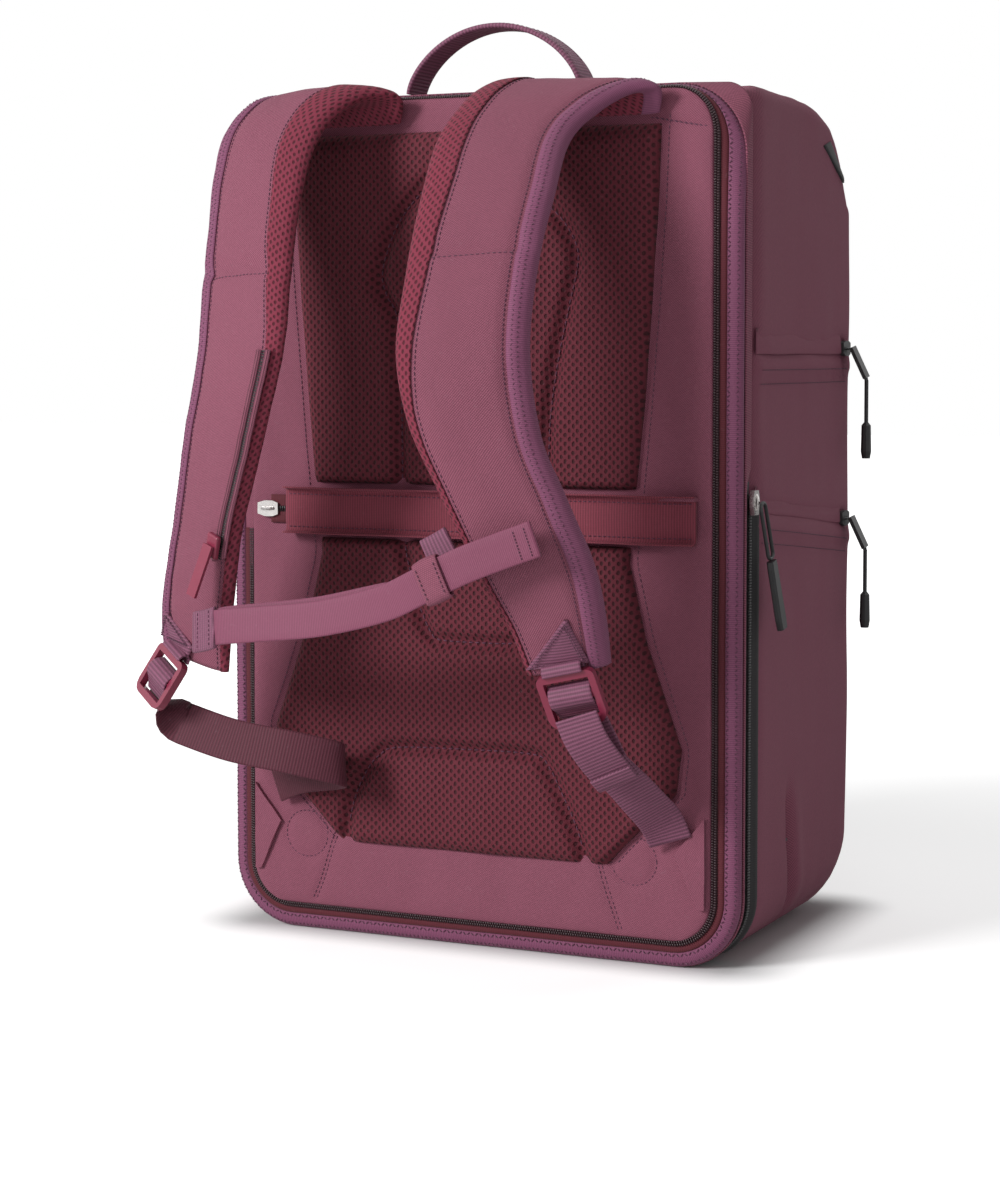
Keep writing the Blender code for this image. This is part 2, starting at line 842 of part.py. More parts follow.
# Each station: left rail (x, stand-off from the panel, drop from the top), then the right rail.
right_strap_rails = [
    (0.050, 0.0090, 0.028, 0.122, 0.0090, 0.028),
    (0.041, 0.0165, 0.008, 0.124, 0.0165, 0.010),
    (0.030, 0.0360, 0.007, 0.106, 0.0310, 0.011),
    (0.018, 0.075, 0.030, 0.089, 0.060, 0.032),
    (0.020, 0.106, 0.070, 0.090, 0.090, 0.068),
    (0.021, 0.125, 0.110, 0.089, 0.108, 0.105),
    (0.020, 0.134, 0.150, 0.088, 0.116, 0.150),
    (0.025, 0.130, 0.188, 0.093, 0.113, 0.194),
    (0.038, 0.118, 0.226, 0.104, 0.104, 0.228),
    (0.054, 0.102, 0.270, 0.115, 0.092, 0.264),
    (0.070, 0.084, 0.308, 0.117, 0.078, 0.303),
]
left_strap_rails = [
    (-0.114, 0.0090, 0.028, -0.044, 0.0090, 0.028),
    (-0.119, 0.0160, 0.010, -0.040, 0.0165, 0.008),
    (-0.130, 0.0300, 0.011, -0.056, 0.0350, 0.007),
    (-0.138, 0.0450, 0.024, -0.069, 0.0580, 0.025),
    (-0.137, 0.060, 0.053, -0.069, 0.083, 0.065),
    (-0.132, 0.077, 0.100, -0.065, 0.102, 0.114),
    (-0.131, 0.086, 0.150, -0.063, 0.113, 0.150),
    (-0.141, 0.086, 0.203, -0.075, 0.112, 0.191),
    (-0.155, 0.079, 0.262, -0.095, 0.102, 0.245),
    (-0.163, 0.072, 0.300, -0.113, 0.091, 0.292),
]


# The zip on the left strap runs between these stations of the strap: low end, middle, high end.
pocket_stations = (25, 22, 19)


def strap_stations(rails, steps=3):
    """Frames down a strap, with the half width of the strap at each."""
    samples = smooth_path(rails, steps)
    lefts = [Vector((across(s[0]), rear - s[1], bag_height - level(s[2]))) for s in samples]
    rights = [Vector((across(s[3]), rear - s[4], bag_height - level(s[5]))) for s in samples]
    centres = [(a + b) / 2 for a, b in zip(lefts, rights)]
    stations = path_stations(centres, [b - a for a, b in zip(lefts, rights)], square=False)
    halves = [(b - a).length / 2 for a, b in zip(lefts, rights)]
    return stations, halves


def strap_half(halves, share):
    place = share * (len(halves) - 1)
    low = min(int(place), len(halves) - 2)
    return halves[low] + (halves[low + 1] - halves[low]) * (place - low)


def strap_thickness(share):
    """Thin where it is sewn in, full below the crest, thin again at the end."""
    rise = min(1.0, share / 0.22)
    fall = min(1.0, (1.0 - share) / 0.08)
    return strap_core * (0.30 + 0.70 * rise) * (0.45 + 0.55 * fall)


def build_strap(side, rails, outer_sign):
    stations, halves = strap_stations(rails)
    edge = 0.0030

    def pad_outline(share):
        u = strap_half(halves, share) - edge
        v = strap_thickness(share) / 2
        return [
            (-u, -v * 0.45),
            (-u * 0.86, -v),
            (0.0, -v),
            (u * 0.86, -v),
            (u, -v * 0.45),
            (u, v * 0.45),
            (u * 0.86, v),
            (0.0, v * 1.15),
            (-u * 0.86, v),
            (-u, v * 0.45),
        ]

    def lining_outline(share):
        u = (strap_half(halves, share) - edge) * 0.86
        v = strap_thickness(share) / 2 + gap
        low = -v - lining_thickness * min(1.0, 0.3 + share * 3)
        return [(-u, low), (0.0, low), (u, low), (u, -v), (0.0, -v), (-u, -v)]

    def binding_outline(share):
        u = strap_half(halves, share)
        v = max(strap_thickness(share) * 0.30, 0.0012)
        points = [(u - edge + 4 * gap, -v), (u, -v), (u, v), (u - edge + 4 * gap, v)]
        return [(x * outer_sign, y) for x, y in points]

    sweep("shoulder_pad_" + side, stations, pad_outline, "twill")
    sweep("strap_lining_" + side, stations, lining_outline, "mesh")
    sweep("strap_binding_" + side, stations, binding_outline, "binding")
    return stations, halves


# ---- Ladder locks and webbing ------------------------------------

locks = {
    "right": {
        "centre": (0.0965, 0.0760, 0.338),
        "bar": (0.95, 0.06, 0.22),
        "down": (0.17, 0.34, -0.92),
    },
    "left": {
        "centre": (-0.1640, 0.0800, 0.340),
        "bar": (0.75, -0.50, -0.33),
        "down": (-0.56, -0.10, -0.76),
    },
}


def lock_frame(side):
    """Centre, bar direction, length direction and outward direction of a ladder lock."""
    lock = locks[side]
    x, stand_off, drop = lock["centre"]
    centre = Vector((across(x), rear - stand_off, bag_height - level(drop)))
    bar = Vector(lock["bar"]).normalized()
    down = Vector(lock["down"])
    down = (down - bar * down.dot(bar)).normalized()
    outward = bar.cross(down).normalized()
    return centre, bar, down, outward if outward.y < 0 else -outward


def build_lock(side):
    centre, bar, down, outward = lock_frame(side)
    half_w = lock_width / 2
    half_l = lock_length / 2
    slot_w = (webbing_width + 0.0014) / 2
    corner = 0.004
    outline = arc(half_w - corner, half_l - corner, corner, 0, 90, 3)
    outline += arc(-half_w + corner, half_l - corner, corner, 90, 180, 3)
    outline += arc(-half_w + corner * 1.6, -half_l + corner * 1.6, corner * 1.6, 180, 270, 3)
    outline += arc(half_w - corner * 1.6, -half_l + corner * 1.6, corner * 1.6, 270, 360, 3)
    clear = (lock_length - 3 * lock_bar) / 2
    top = half_l - lock_bar
    upper = [(-slot_w, top - clear * 0.8), (slot_w, top - clear * 0.8), (slot_w, top), (-slot_w, top)]
    mid = top - clear * 0.8 - lock_bar
    low = -half_l + lock_bar
    lower = [(-slot_w, low), (slot_w, low), (slot_w, mid), (-slot_w, mid)]
    v = lock_thickness / 2
    node = plate("ladder_lock_" + side, [outline, upper, lower], -v, v, "wine_plastic")
    turn = Matrix((bar, -outward, -down)).transposed().to_4x4()
    node.data.transform(Matrix.Translation(centre) @ turn)
    if turn.determinant() < 0:
        node.data.flip_normals()
    pivot = centre - down * (half_l - lock_bar / 2)
    move_origin(node, pivot)


def placed(route):
    """Points of a route of (x, stand-off from the panel, height, across direction)."""
    return [(across(x), rear - off, level(z), ax, ay, az) for x, off, z, ax, ay, az in route]


def build_anchor_webbing(side, stations):
    """The short doubled webbing that ties the lock to the end of the strap."""
    centre, bar, down, outward = lock_frame(side)
    end, across, normal = stations[-1]
    if normal.dot(outward) < 0:
        normal = -normal
    lift = strap_thickness(0.97) / 2 + 0.0041
    fold = centre - down * (lock_length / 2 + 0.0050)
    tangent = across.cross(normal).normalized()
    if tangent.z > 0:
        tangent = -tangent
    begin = end - tangent * 0.024 + normal * (lift + 0.0010)
    edge = end + tangent * 0.0005 + normal * (lift - 0.0010)
    hints = [across, across, bar, bar]
    points = []
    for point, hint in zip((begin, edge, (edge + fold) / 2, fold), hints):
        sign = 1 if hint.x > 0 else -1
        points.append((*point, *(hint * sign)))
    ribbon("anchor_webbing_" + side, points, webbing_width - 0.001, webbing_thickness, "webbing", 3)


def build_lower_webbing(side, route):
    """The adjusting webbing, from behind the ladder lock down to the corner tab."""
    centre, bar, down, outward = lock_frame(side)
    behind = centre - outward * (lock_thickness / 2 + webbing_thickness / 2 + 0.0010)
    hint = bar if bar.x > 0 else -bar
    points = [(*behind, *hint), (*(behind + down * 0.017 - outward * 0.0025), *hint)]
    points += placed(route)
    ribbon("lower_webbing_" + side, points, webbing_width, webbing_thickness, "webbing", 4)


right_route = [
    (0.1080, 0.0560, 0.1250, 0.96, 0.10, 0.26),
    (0.1180, 0.0350, 0.1040, 0.90, 0.25, 0.36),
    (0.1240, 0.0170, 0.0880, 0.85, 0.30, 0.43),
    (0.1270, 0.0080, 0.0740, 0.86, 0.05, 0.50),
]
left_route = [
    (-0.1560, 0.0720, 0.1330, 0.45, 0.30, 0.84),
    (-0.1240, 0.0680, 0.1240, 0.15, 0.35, 0.92),
    (-0.0900, 0.0600, 0.1180, 0.00, 0.25, 0.97),
    (-0.0660, 0.0420, 0.1100, -0.10, 0.10, 0.99),
    (-0.0780, 0.0240, 0.1040, -0.10, 0.05, 0.99),
    (-0.1080, 0.0150, 0.0980, -0.10, 0.05, 0.99),
    (-0.1290, 0.0080, 0.0900, -0.25, 0.00, 0.97),
]


def build_corner_tab(side, sign):
    """A folded cloth triangle low on the panel that takes the end of the webbing."""
    outer = panel_half - 0.0010
    low = 0.036
    outline = [(outer, low), (outer, low + 0.052), (outer - 0.018, low + 0.030), (outer - 0.004, low)]
    outline = [(x * sign, z) for x, z in outline]
    plate("corner_tab_" + side, [outline], rear - gap - 0.0022, rear - gap, "twill")


# ---- Sternum strap -----------------------------------------------


# Routes of x, stand-off from the panel, height and across direction.
sternum_route = [
    (-0.1010, 0.1170, 0.1960, 0.05, 0.10, 0.99),
    (-0.0750, 0.1190, 0.1990, 0.05, 0.15, 0.98),
    (-0.0350, 0.1205, 0.2040, 0.05, 0.12, 0.99),
    (0.0050, 0.1230, 0.2140, -0.10, 0.05, 0.99),
    (0.0300, 0.1260, 0.2250, -0.30, 0.00, 0.95),
    (0.0580, 0.1265, 0.2380, -0.30, 0.00, 0.95),
    (0.0950, 0.1215, 0.2520, -0.30, 0.00, 0.95),
]
cuff_route = [
    (0.0300, 0.1260, 0.2250, -0.30, 0.0, 0.95),
    (0.0440, 0.1266, 0.2315, -0.30, 0.0, 0.95),
]
keeper_route = [
    (-0.1260, 0.1040, 0.1905, 0.05, 0.10, 0.99),
    (-0.1140, 0.1110, 0.1930, 0.05, 0.10, 0.99),
    (-0.1050, 0.1165, 0.1955, 0.05, 0.10, 0.99),
]
ring_route = [
    (0.0260, 0.1120, 0.2400, -0.30, 0.0, 0.95),
    (0.0340, 0.1120, 0.2440, -0.30, 0.0, 0.95),
    (0.0410, 0.1115, 0.2480, -0.30, 0.0, 0.95),
]


def build_sternum():
    """Webbing across the chest and its cloth cuff, which swing about the keeper on the left strap."""
    webbing = ribbon("sternum_webbing", placed(sternum_route), sternum_width, sternum_thickness, "binding")
    places = placed(cuff_route)
    stations = path_stations([Vector(p[:3]) for p in places], [p[3:] for p in places])
    u = sternum_width / 2 + 0.0007
    v = sternum_thickness / 2 + 0.0010
    cuff = sweep("sternum_cuff", stations, rectangle(u + cuff_wall, v + cuff_wall), "twill")
    (start, *first), (end, *last) = stations
    longer = [(start * 2 - end, *first), (end * 2 - start, *last)]
    sections = [[c + a * x + o * y for x, y in rectangle(u, v)] for c, a, o in longer]
    hollow = loft("cuff_cutter", sections, None, collection=cutter_collection)
    boolean(cuff, cutter(hollow), "DIFFERENCE")
    pivot = Vector(placed(keeper_route)[-1][:3]) + Vector((0.0015, -0.0010, 0.0002))
    for node in (webbing, cuff):
        move_origin(node, pivot)


def build_sternum_fittings():
    ribbon("sternum_keeper", placed(keeper_route), sternum_width + 0.004, 0.0030, "wine_plastic", 2)
    ribbon("sternum_hook_ring", placed(ring_route), sternum_width - 0.002, 0.0030, "wine_plastic", 2)


# ---- Strap pocket ------------------------------------------------


def circle_through(first, second, third):
    """Centre, radius and axis of the circle through three points."""
    along = second - first
    other = third - first
    axis = along.cross(other)
    offset = (axis.cross(along) * other.length_squared + other.cross(axis) * along.length_squared) / (
        2 * axis.length_squared
    )
    return first + offset, offset.length, axis.normalized()


def build_strap_pocket(stations, halves):
    """The small zip along the inner edge of the left strap; its slider runs up an arc over the pad."""
    lift = strap_core / 2 + 0.0028
    marks = []
    for index in pocket_stations:
        centre, across, outward = stations[index]
        marks.append(centre + across * (halves[index] - 0.0080) + outward * lift)
    low, middle, high = marks
    outward = stations[pocket_stations[1]][2]
    axis = (high - low).cross(outward).normalized()
    middle = middle - axis * (middle - low).dot(axis)
    centre, radius, axis = circle_through(low, middle, high)
    if axis.x < 0:
        axis = -axis
    sweep_angle = (low - centre).angle(high - centre)
    frames = []
    steps = 10
    for i in range(steps + 1):
        turn = Matrix.Rotation(-sweep_angle * i / steps, 3, axis)
        if (turn @ (low - centre) - (high - centre)).length > (low - high).length * 1.01:
            turn = Matrix.Rotation(sweep_angle * i / steps, 3, axis)
        outward = (turn @ (low - centre)).normalized()
        frames.append((centre + outward * radius, axis, outward))
    sweep("strap_pocket_chain", frames, rectangle(coil_width / 2, 0.0005), "black_tape")
    outward = frames[0][2]
    travel = (frames[1][0] - frames[0][0]).normalized()
    foot = frames[0][0] + travel * (slider_length / 2) + outward * (0.0005 + gap * 1.5)
    slider = block(
        "strap_slider",
        (-slider_length / 2, -slider_width / 2, 0.0),
        (slider_length / 2, slider_width / 2, slider_thickness * 0.8),
        "wine_plastic",
        0.001,
    )
    turn = Matrix((travel, outward.cross(travel), outward)).transposed().to_4x4()
    slider.data.transform(Matrix.Translation(foot) @ turn)
    pivot = foot + outward * (slider_thickness * 0.8 + 0.0016)
    down = Vector((-0.34, -0.06, -0.94)).normalized()
    points = [(*(pivot + down * reach), *axis) for reach in (-0.001, 0.012, 0.030)]
    pull = ribbon("strap_pull", points, 0.0075, 0.0018, "wine_plastic", 2)
    move_origin(slider, centre)
    move_origin(pull, pivot)


def build_all():
    build_shell()
    build_rim()
    middle = build_main_zip()
    build_inner_pieces()
    build_side_pocket("upper_pocket", upper_seam, 0.0, upper_floor)
    build_side_pocket("lower_pocket", lower_seam, seam_fall, lower_floor)
    build_main_slider(middle)
    build_handle()
    build_top_strip()
    build_back_panel()
    build_mesh_panels()
    build_band()
    right, right_halves = build_strap("right", right_strap_rails, 1)
    left, left_halves = build_strap("left", left_strap_rails, -1)
    for side, stations, route in (("right", right, right_route), ("left", left, left_route)):
        build_lock(side)
        build_anchor_webbing(side, stations)
        build_lower_webbing(side, route)
    build_corner_tab("right", 1)
    build_corner_tab("left", -1)
    build_sternum()
    build_sternum_fittings()
    build_strap_pocket(left, left_halves)


build_all()
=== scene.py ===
import json
import math

import bmesh
import bpy
import numpy as np
from mathutils import Matrix, Vector, noise

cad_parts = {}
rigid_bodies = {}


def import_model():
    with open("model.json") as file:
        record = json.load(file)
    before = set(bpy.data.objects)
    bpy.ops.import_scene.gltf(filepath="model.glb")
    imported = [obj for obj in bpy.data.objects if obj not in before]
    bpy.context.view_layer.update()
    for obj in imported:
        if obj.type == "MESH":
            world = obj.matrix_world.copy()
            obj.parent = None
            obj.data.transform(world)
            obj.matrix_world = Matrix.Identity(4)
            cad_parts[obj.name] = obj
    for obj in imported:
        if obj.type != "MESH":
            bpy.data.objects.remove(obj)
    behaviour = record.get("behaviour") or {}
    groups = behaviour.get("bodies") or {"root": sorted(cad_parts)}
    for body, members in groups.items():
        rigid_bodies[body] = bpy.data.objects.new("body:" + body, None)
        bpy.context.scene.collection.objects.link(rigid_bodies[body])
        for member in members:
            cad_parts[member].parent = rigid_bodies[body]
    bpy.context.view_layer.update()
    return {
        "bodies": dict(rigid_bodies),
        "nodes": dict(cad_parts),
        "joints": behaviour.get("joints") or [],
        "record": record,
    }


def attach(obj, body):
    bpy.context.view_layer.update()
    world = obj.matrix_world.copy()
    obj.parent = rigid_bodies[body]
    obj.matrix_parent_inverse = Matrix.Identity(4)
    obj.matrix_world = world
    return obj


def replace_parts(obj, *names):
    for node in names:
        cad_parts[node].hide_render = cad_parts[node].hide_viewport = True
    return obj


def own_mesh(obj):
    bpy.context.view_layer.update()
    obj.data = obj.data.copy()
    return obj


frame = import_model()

# without a seed the vector noise differs from run to run
noise.seed_set(1)

print("frame loaded")

# Sizes repeated from the CAD source, in metres.
bag = {
    "halfWidth": 0.164,
    "height": 0.500,
    "rear": -0.1075,
    "front": 0.1075,
    "rimCorner": 0.040,
    "baseCorner": 0.038,
    "topCorner": 0.014,
    "frontCorner": 0.045,
    "frontRound": 0.020,
    "gussetStart": -0.1031,
    "gussetEnd": -0.0901,
    "shellStart": -0.0833,
    "upperSeam": 0.352,
    "lowerSeam": 0.262,
    "seamFall": 0.016,
    "pocketStart": -0.0740,
    "pocketEnd": 0.0870,
    "bandCentre": 0.2555,
}


def srgb(red, green, blue):
    found = []
    for value in (red, green, blue):
        share = value / 255
        found.append(share / 12.92 if share < 0.04045 else ((share + 0.055) / 1.055) ** 2.4)
    return (*found, 1.0)


# camera, lamps, floor
view = {
    "azimuth": 25.2,  # degrees from straight behind, towards the right side
    "pitch": 3.2,
    "distance": 1.607,
    "target": (-0.0335, 0.0, 0.26),
    "lens": 76.92,
    "shiftY": -0.0871,
}


def makeCamera():
    azimuth = math.radians(view["azimuth"])
    pitch = math.radians(view["pitch"])
    flat = math.cos(pitch)
    back = Vector((math.sin(azimuth) * flat, -math.cos(azimuth) * flat, math.sin(pitch)))
    data = bpy.data.cameras.new("camera")
    data.lens = view["lens"]
    data.sensor_width = 36
    data.shift_y = view["shiftY"]
    data.clip_start = 0.05
    data.clip_end = 60
    camera = bpy.data.objects.new("camera", data)
    bpy.context.scene.collection.objects.link(camera)
    camera.location = Vector(view["target"]) + back * view["distance"]
    camera.rotation_euler = back.to_track_quat("Z", "Y").to_euler()
    bpy.context.scene.camera = camera


lamps = {
    "key": {"place": (-1.25, -2.4, 1.25), "size": 0.9, "power": 62},
    "front": {"place": (0.6, -2.6, 0.9), "size": 1.6, "power": 7},
    "top": {"place": (0.1, 0.2, 2.4), "size": 1.5, "power": 9},
    "side": {"place": (2.3, 0.1, 1.2), "size": 1.4, "power": 1.5},
}
lampAim = Vector((0, 0, 0.25))


def makeLamps():
    for name, lamp in lamps.items():
        data = bpy.data.lights.new(name + "Lamp", "AREA")
        data.shape = "DISK"
        data.size = lamp["size"]
        data.energy = lamp["power"]
        lampObject = bpy.data.objects.new(name + "Lamp", data)
        bpy.context.scene.collection.objects.link(lampObject)
        lampObject.location = lamp["place"]
        aim = lampAim - Vector(lamp["place"])
        lampObject.rotation_euler = aim.to_track_quat("-Z", "Y").to_euler()


# the world lights the bag weakly, and only the camera, metal and glass see it white
sky = {"light": 0.17, "seen": 0.83}


def makeWorld():
    world = bpy.data.worlds.new("studio")
    bpy.context.scene.world = world
    world.use_nodes = True
    tree = world.node_tree
    background = tree.nodes["Background"]
    path = tree.nodes.new("ShaderNodeLightPath").outputs
    seen = mathNode(tree, "MAXIMUM", path["Is Camera Ray"], path["Is Glossy Ray"])
    seen = mathNode(tree, "MAXIMUM", seen, path["Is Transmission Ray"])
    strength = mathNode(tree, "MULTIPLY_ADD", seen, sky["seen"], sky["light"])
    tree.links.new(strength, background.inputs["Strength"])
    background.inputs["Color"].default_value = (1, 1, 1, 1)


paper = {
    "halfSize": 9,
    "drop": 0.0006,
    "grey": 0.86,
    "footprint": (0.150, 0.090),  # half the bag's base, beyond which the paper glows
    # the glow starts only past this distance from the base, so a ring of painted shade stays round it
    "nearGlow": (0.004, 0.050, 0.55),  # from, to, strength
    "farGlow": (0.25, 1.2, 0.6),
}


def makeFloor():
    bm = bmesh.new()
    bmesh.ops.create_grid(bm, x_segments=8, y_segments=8, size=paper["halfSize"])
    mesh = bpy.data.meshes.new("floor")
    bm.to_mesh(mesh)
    bm.free()
    floor = bpy.data.objects.new("floor", mesh)
    bpy.context.scene.collection.objects.link(floor)
    floor.location.z = -paper["drop"]
    material = bpy.data.materials.new("floorPaper")
    material.use_nodes = True
    tree = material.node_tree
    output = tree.nodes["Material Output"]
    tree.nodes.remove(tree.nodes["Principled BSDF"])
    diffuse = tree.nodes.new("ShaderNodeBsdfDiffuse")
    diffuse.inputs["Color"].default_value = (paper["grey"], paper["grey"], paper["grey"], 1)
    lift = tree.nodes.new("ShaderNodeEmission")
    path = tree.nodes.new("ShaderNodeLightPath")
    place = tree.nodes.new("ShaderNodeSeparateXYZ")
    tree.links.new(tree.nodes.new("ShaderNodeTexCoord").outputs["Object"], place.inputs[0])
    # the paper glows for the camera, but less close to the bag's base: painted shade round the base, on top of
    # the shadow the lamps cast
    squares = []
    for axis, half in enumerate(paper["footprint"]):
        past = mathNode(tree, "SUBTRACT", mathNode(tree, "ABSOLUTE", place.outputs[axis]), half)
        past = mathNode(tree, "MAXIMUM", past, 0.0)
        squares.append(mathNode(tree, "MULTIPLY", past, past))
    away = mathNode(tree, "SQRT", mathNode(tree, "ADD", *squares))
    glows = [mapRange(tree, away, low, high, 0.0, strength)
             for low, high, strength in (paper["nearGlow"], paper["farGlow"])]
    glow = mathNode(tree, "MULTIPLY", path.outputs["Is Camera Ray"], mathNode(tree, "ADD", *glows))
    tree.links.new(glow, lift.inputs["Strength"])
    both = tree.nodes.new("ShaderNodeAddShader")
    tree.links.new(diffuse.outputs[0], both.inputs[0])
    tree.links.new(lift.outputs[0], both.inputs[1])
    tree.links.new(both.outputs[0], output.inputs["Surface"])
    mesh.materials.append(material)


# small helpers for node trees
def setInput(tree, socket, value):
    if isinstance(value, bpy.types.NodeSocket):
        tree.links.new(value, socket)
    elif value is not None:
        socket.default_value = value


def mathNode(tree, operation, first, second=None, third=None):
    node = tree.nodes.new("ShaderNodeMath")
    node.operation = operation
    for socket, value in zip(node.inputs, (first, second, third)):
        setInput(tree, socket, value)
    return node.outputs[0]


def centred(tree, value, amount):
    return mathNode(tree, "MULTIPLY", mathNode(tree, "SUBTRACT", value, 0.5), amount)


def mapRange(tree, value, low, high, toLow=0.0, toHigh=1.0):
    node = tree.nodes.new("ShaderNodeMapRange")
    node.interpolation_type = "SMOOTHSTEP"
    names = ("Value", "From Min", "From Max", "To Min", "To Max")
    for name, amount in zip(names, (value, low, high, toLow, toHigh)):
        setInput(tree, node.inputs[name], amount)
    return node.outputs["Result"]


def noiseNode(tree, vector, scale, detail):
    node = tree.nodes.new("ShaderNodeTexNoise")
    setInput(tree, node.inputs["Vector"], vector)
    setInput(tree, node.inputs["Scale"], scale)
    node.inputs["Detail"].default_value = detail
    return node.outputs["Fac"]


def mixColour(tree, factor, first, second):
    node = tree.nodes.new("ShaderNodeMix")
    node.data_type = "RGBA"
    setInput(tree, node.inputs["Factor"], factor)
    setInput(tree, node.inputs["A"], first)
    setInput(tree, node.inputs["B"], second)
    return node.outputs["Result"]


def newGroup(name, inputs, outputs):
    group = bpy.data.node_groups.new(name, "ShaderNodeTree")
    for socketName, value in inputs.items():
        socket = group.interface.new_socket(
            socketName, in_out="INPUT", socket_type="NodeSocketFloat")
        socket.default_value = value
    for socketName in outputs:
        group.interface.new_socket(socketName, in_out="OUTPUT", socket_type="NodeSocketFloat")
    ends = [group.nodes.new(kind) for kind in ("NodeGroupInput", "NodeGroupOutput")]
    return group, ends[0].outputs, ends[1].inputs


def clothCoordinates(tree):
    # the pieces carry their own cloth directions, in metres, as UVs
    uv = tree.nodes.new("ShaderNodeUVMap")
    uv.uv_map = "cloth"
    split = tree.nodes.new("ShaderNodeSeparateXYZ")
    tree.links.new(uv.outputs[0], split.inputs[0])
    return uv.outputs[0], split.outputs[0], split.outputs[1]


def finishWeave(tree, vector, threads, depth, patchSize, inputs, outputs):
    # adds thick and thin places in the yarn to the plain weave
    uneven = noiseNode(tree, vector, mathNode(tree, "DIVIDE", patchSize, inputs["Pitch"]), 2.0)
    uneven = centred(tree, uneven, inputs["Irregular"])
    height = mathNode(tree, "ADD", mathNode(tree, "MULTIPLY_ADD", threads, depth, 0.5), uneven)
    tree.links.new(height, outputs["Height"])
    tree.links.new(height, outputs["Shade"])


def makeTwillGroup():
    tree, inputs, outputs = newGroup(
        "twillWeave", {"Pitch": 0.0013, "Irregular": 0.3}, ("Height", "Shade"))
    vector, along, across = clothCoordinates(tree)
    turns = mathNode(tree, "DIVIDE", 6.2832, inputs["Pitch"])
    along = mathNode(tree, "MULTIPLY", along, turns)
    across = mathNode(tree, "MULTIPLY", across, turns)
    rib = mathNode(tree, "SINE", mathNode(tree, "ADD", along, across))
    slant = mathNode(tree, "MULTIPLY_ADD", along, 1.0, mathNode(tree, "MULTIPLY", across, -0.5))
    threads = mathNode(tree, "MULTIPLY_ADD", mathNode(tree, "SINE", slant), 0.35, rib)
    finishWeave(tree, vector, threads, 0.37, 0.6, inputs, outputs)
    return tree


def makeRibGroup():
    tree, inputs, outputs = newGroup(
        "ribWeave", {"Pitch": 0.0022, "Irregular": 0.3}, ("Height", "Shade"))
    vector, along, across = clothCoordinates(tree)
    turns = mathNode(tree, "DIVIDE", 6.2832, inputs["Pitch"])
    rib = mathNode(tree, "SINE", mathNode(tree, "MULTIPLY", along, turns))
    fine = mathNode(tree, "MULTIPLY", turns, 1.7)
    yarn = mathNode(tree, "SINE", mathNode(tree, "MULTIPLY", across, fine))
    threads = mathNode(tree, "MULTIPLY_ADD", yarn, 0.25, rib)
    finishWeave(tree, vector, threads, 0.4, 0.8, inputs, outputs)
    return tree


def makeMeshGroup():
    # two lattices of small oval holes, half a pitch apart
    tree, inputs, outputs = newGroup(
        "spacerMesh", {"Pitch": 0.0043, "Irregular": 0.3}, ("Height", "Shade"))
    vector, along, across = clothCoordinates(tree)
    sway = centred(tree, noiseNode(tree, vector, 160.0, 2.0), inputs["Irregular"])
    rows = mathNode(tree, "ADD", mathNode(tree, "DIVIDE", along, inputs["Pitch"]), sway)
    lines = mathNode(tree, "ADD", mathNode(tree, "DIVIDE", across, inputs["Pitch"]), sway)
    nearest = None
    for shift in (0.0, 0.5):
        x, y = [mathNode(tree, "SUBTRACT",
                         mathNode(tree, "FRACT", mathNode(tree, "ADD", place, shift)), 0.5)
                for place in (rows, lines)]
        x = mathNode(tree, "MULTIPLY", x, 0.72)
        square = mathNode(tree, "MULTIPLY_ADD", x, x, mathNode(tree, "MULTIPLY", y, y))
        distance = mathNode(tree, "SQRT", square)
        if nearest is not None:
            distance = mathNode(tree, "MINIMUM", nearest, distance)
        nearest = distance
    cloth = mapRange(tree, nearest, 0.10, 0.23)
    yarn = noiseNode(tree, vector, 900.0, 2.0)
    for name, share, weight in (("Height", 0.25, 0.85), ("Shade", 0.35, 0.75)):
        level = mathNode(tree, "MULTIPLY_ADD", yarn, share,
                         mathNode(tree, "MULTIPLY", cloth, weight))
        tree.links.new(level, outputs[name])
    return tree


def makeAgeGroup():
    # slow changes of colour over a cloth or plastic surface, and a little lint
    tree, inputs, outputs = newGroup(
        "wornSurface", {"Size": 9.0, "Amount": 0.3}, ("Tone", "Lint"))
    place = tree.nodes.new("ShaderNodeTexCoord").outputs["Object"]
    broad = noiseNode(tree, place, inputs["Size"], 4.0)
    fine = noiseNode(tree, place, mathNode(tree, "MULTIPLY", inputs["Size"], 40.0), 2.0)
    both = mathNode(tree, "MULTIPLY_ADD", fine, 0.4, mathNode(tree, "MULTIPLY", broad, 0.6))
    offset = mathNode(tree, "SUBTRACT", both, 0.5)
    tone = mathNode(tree, "MULTIPLY_ADD", offset, inputs["Amount"], 0.5)
    tree.links.new(tone, outputs["Tone"])
    tree.links.new(mapRange(tree, fine, 0.62, 0.80), outputs["Lint"])
    return tree


weaves = {"twill": makeTwillGroup(), "rib": makeRibGroup(), "mesh": makeMeshGroup()}
wornSurface = makeAgeGroup()

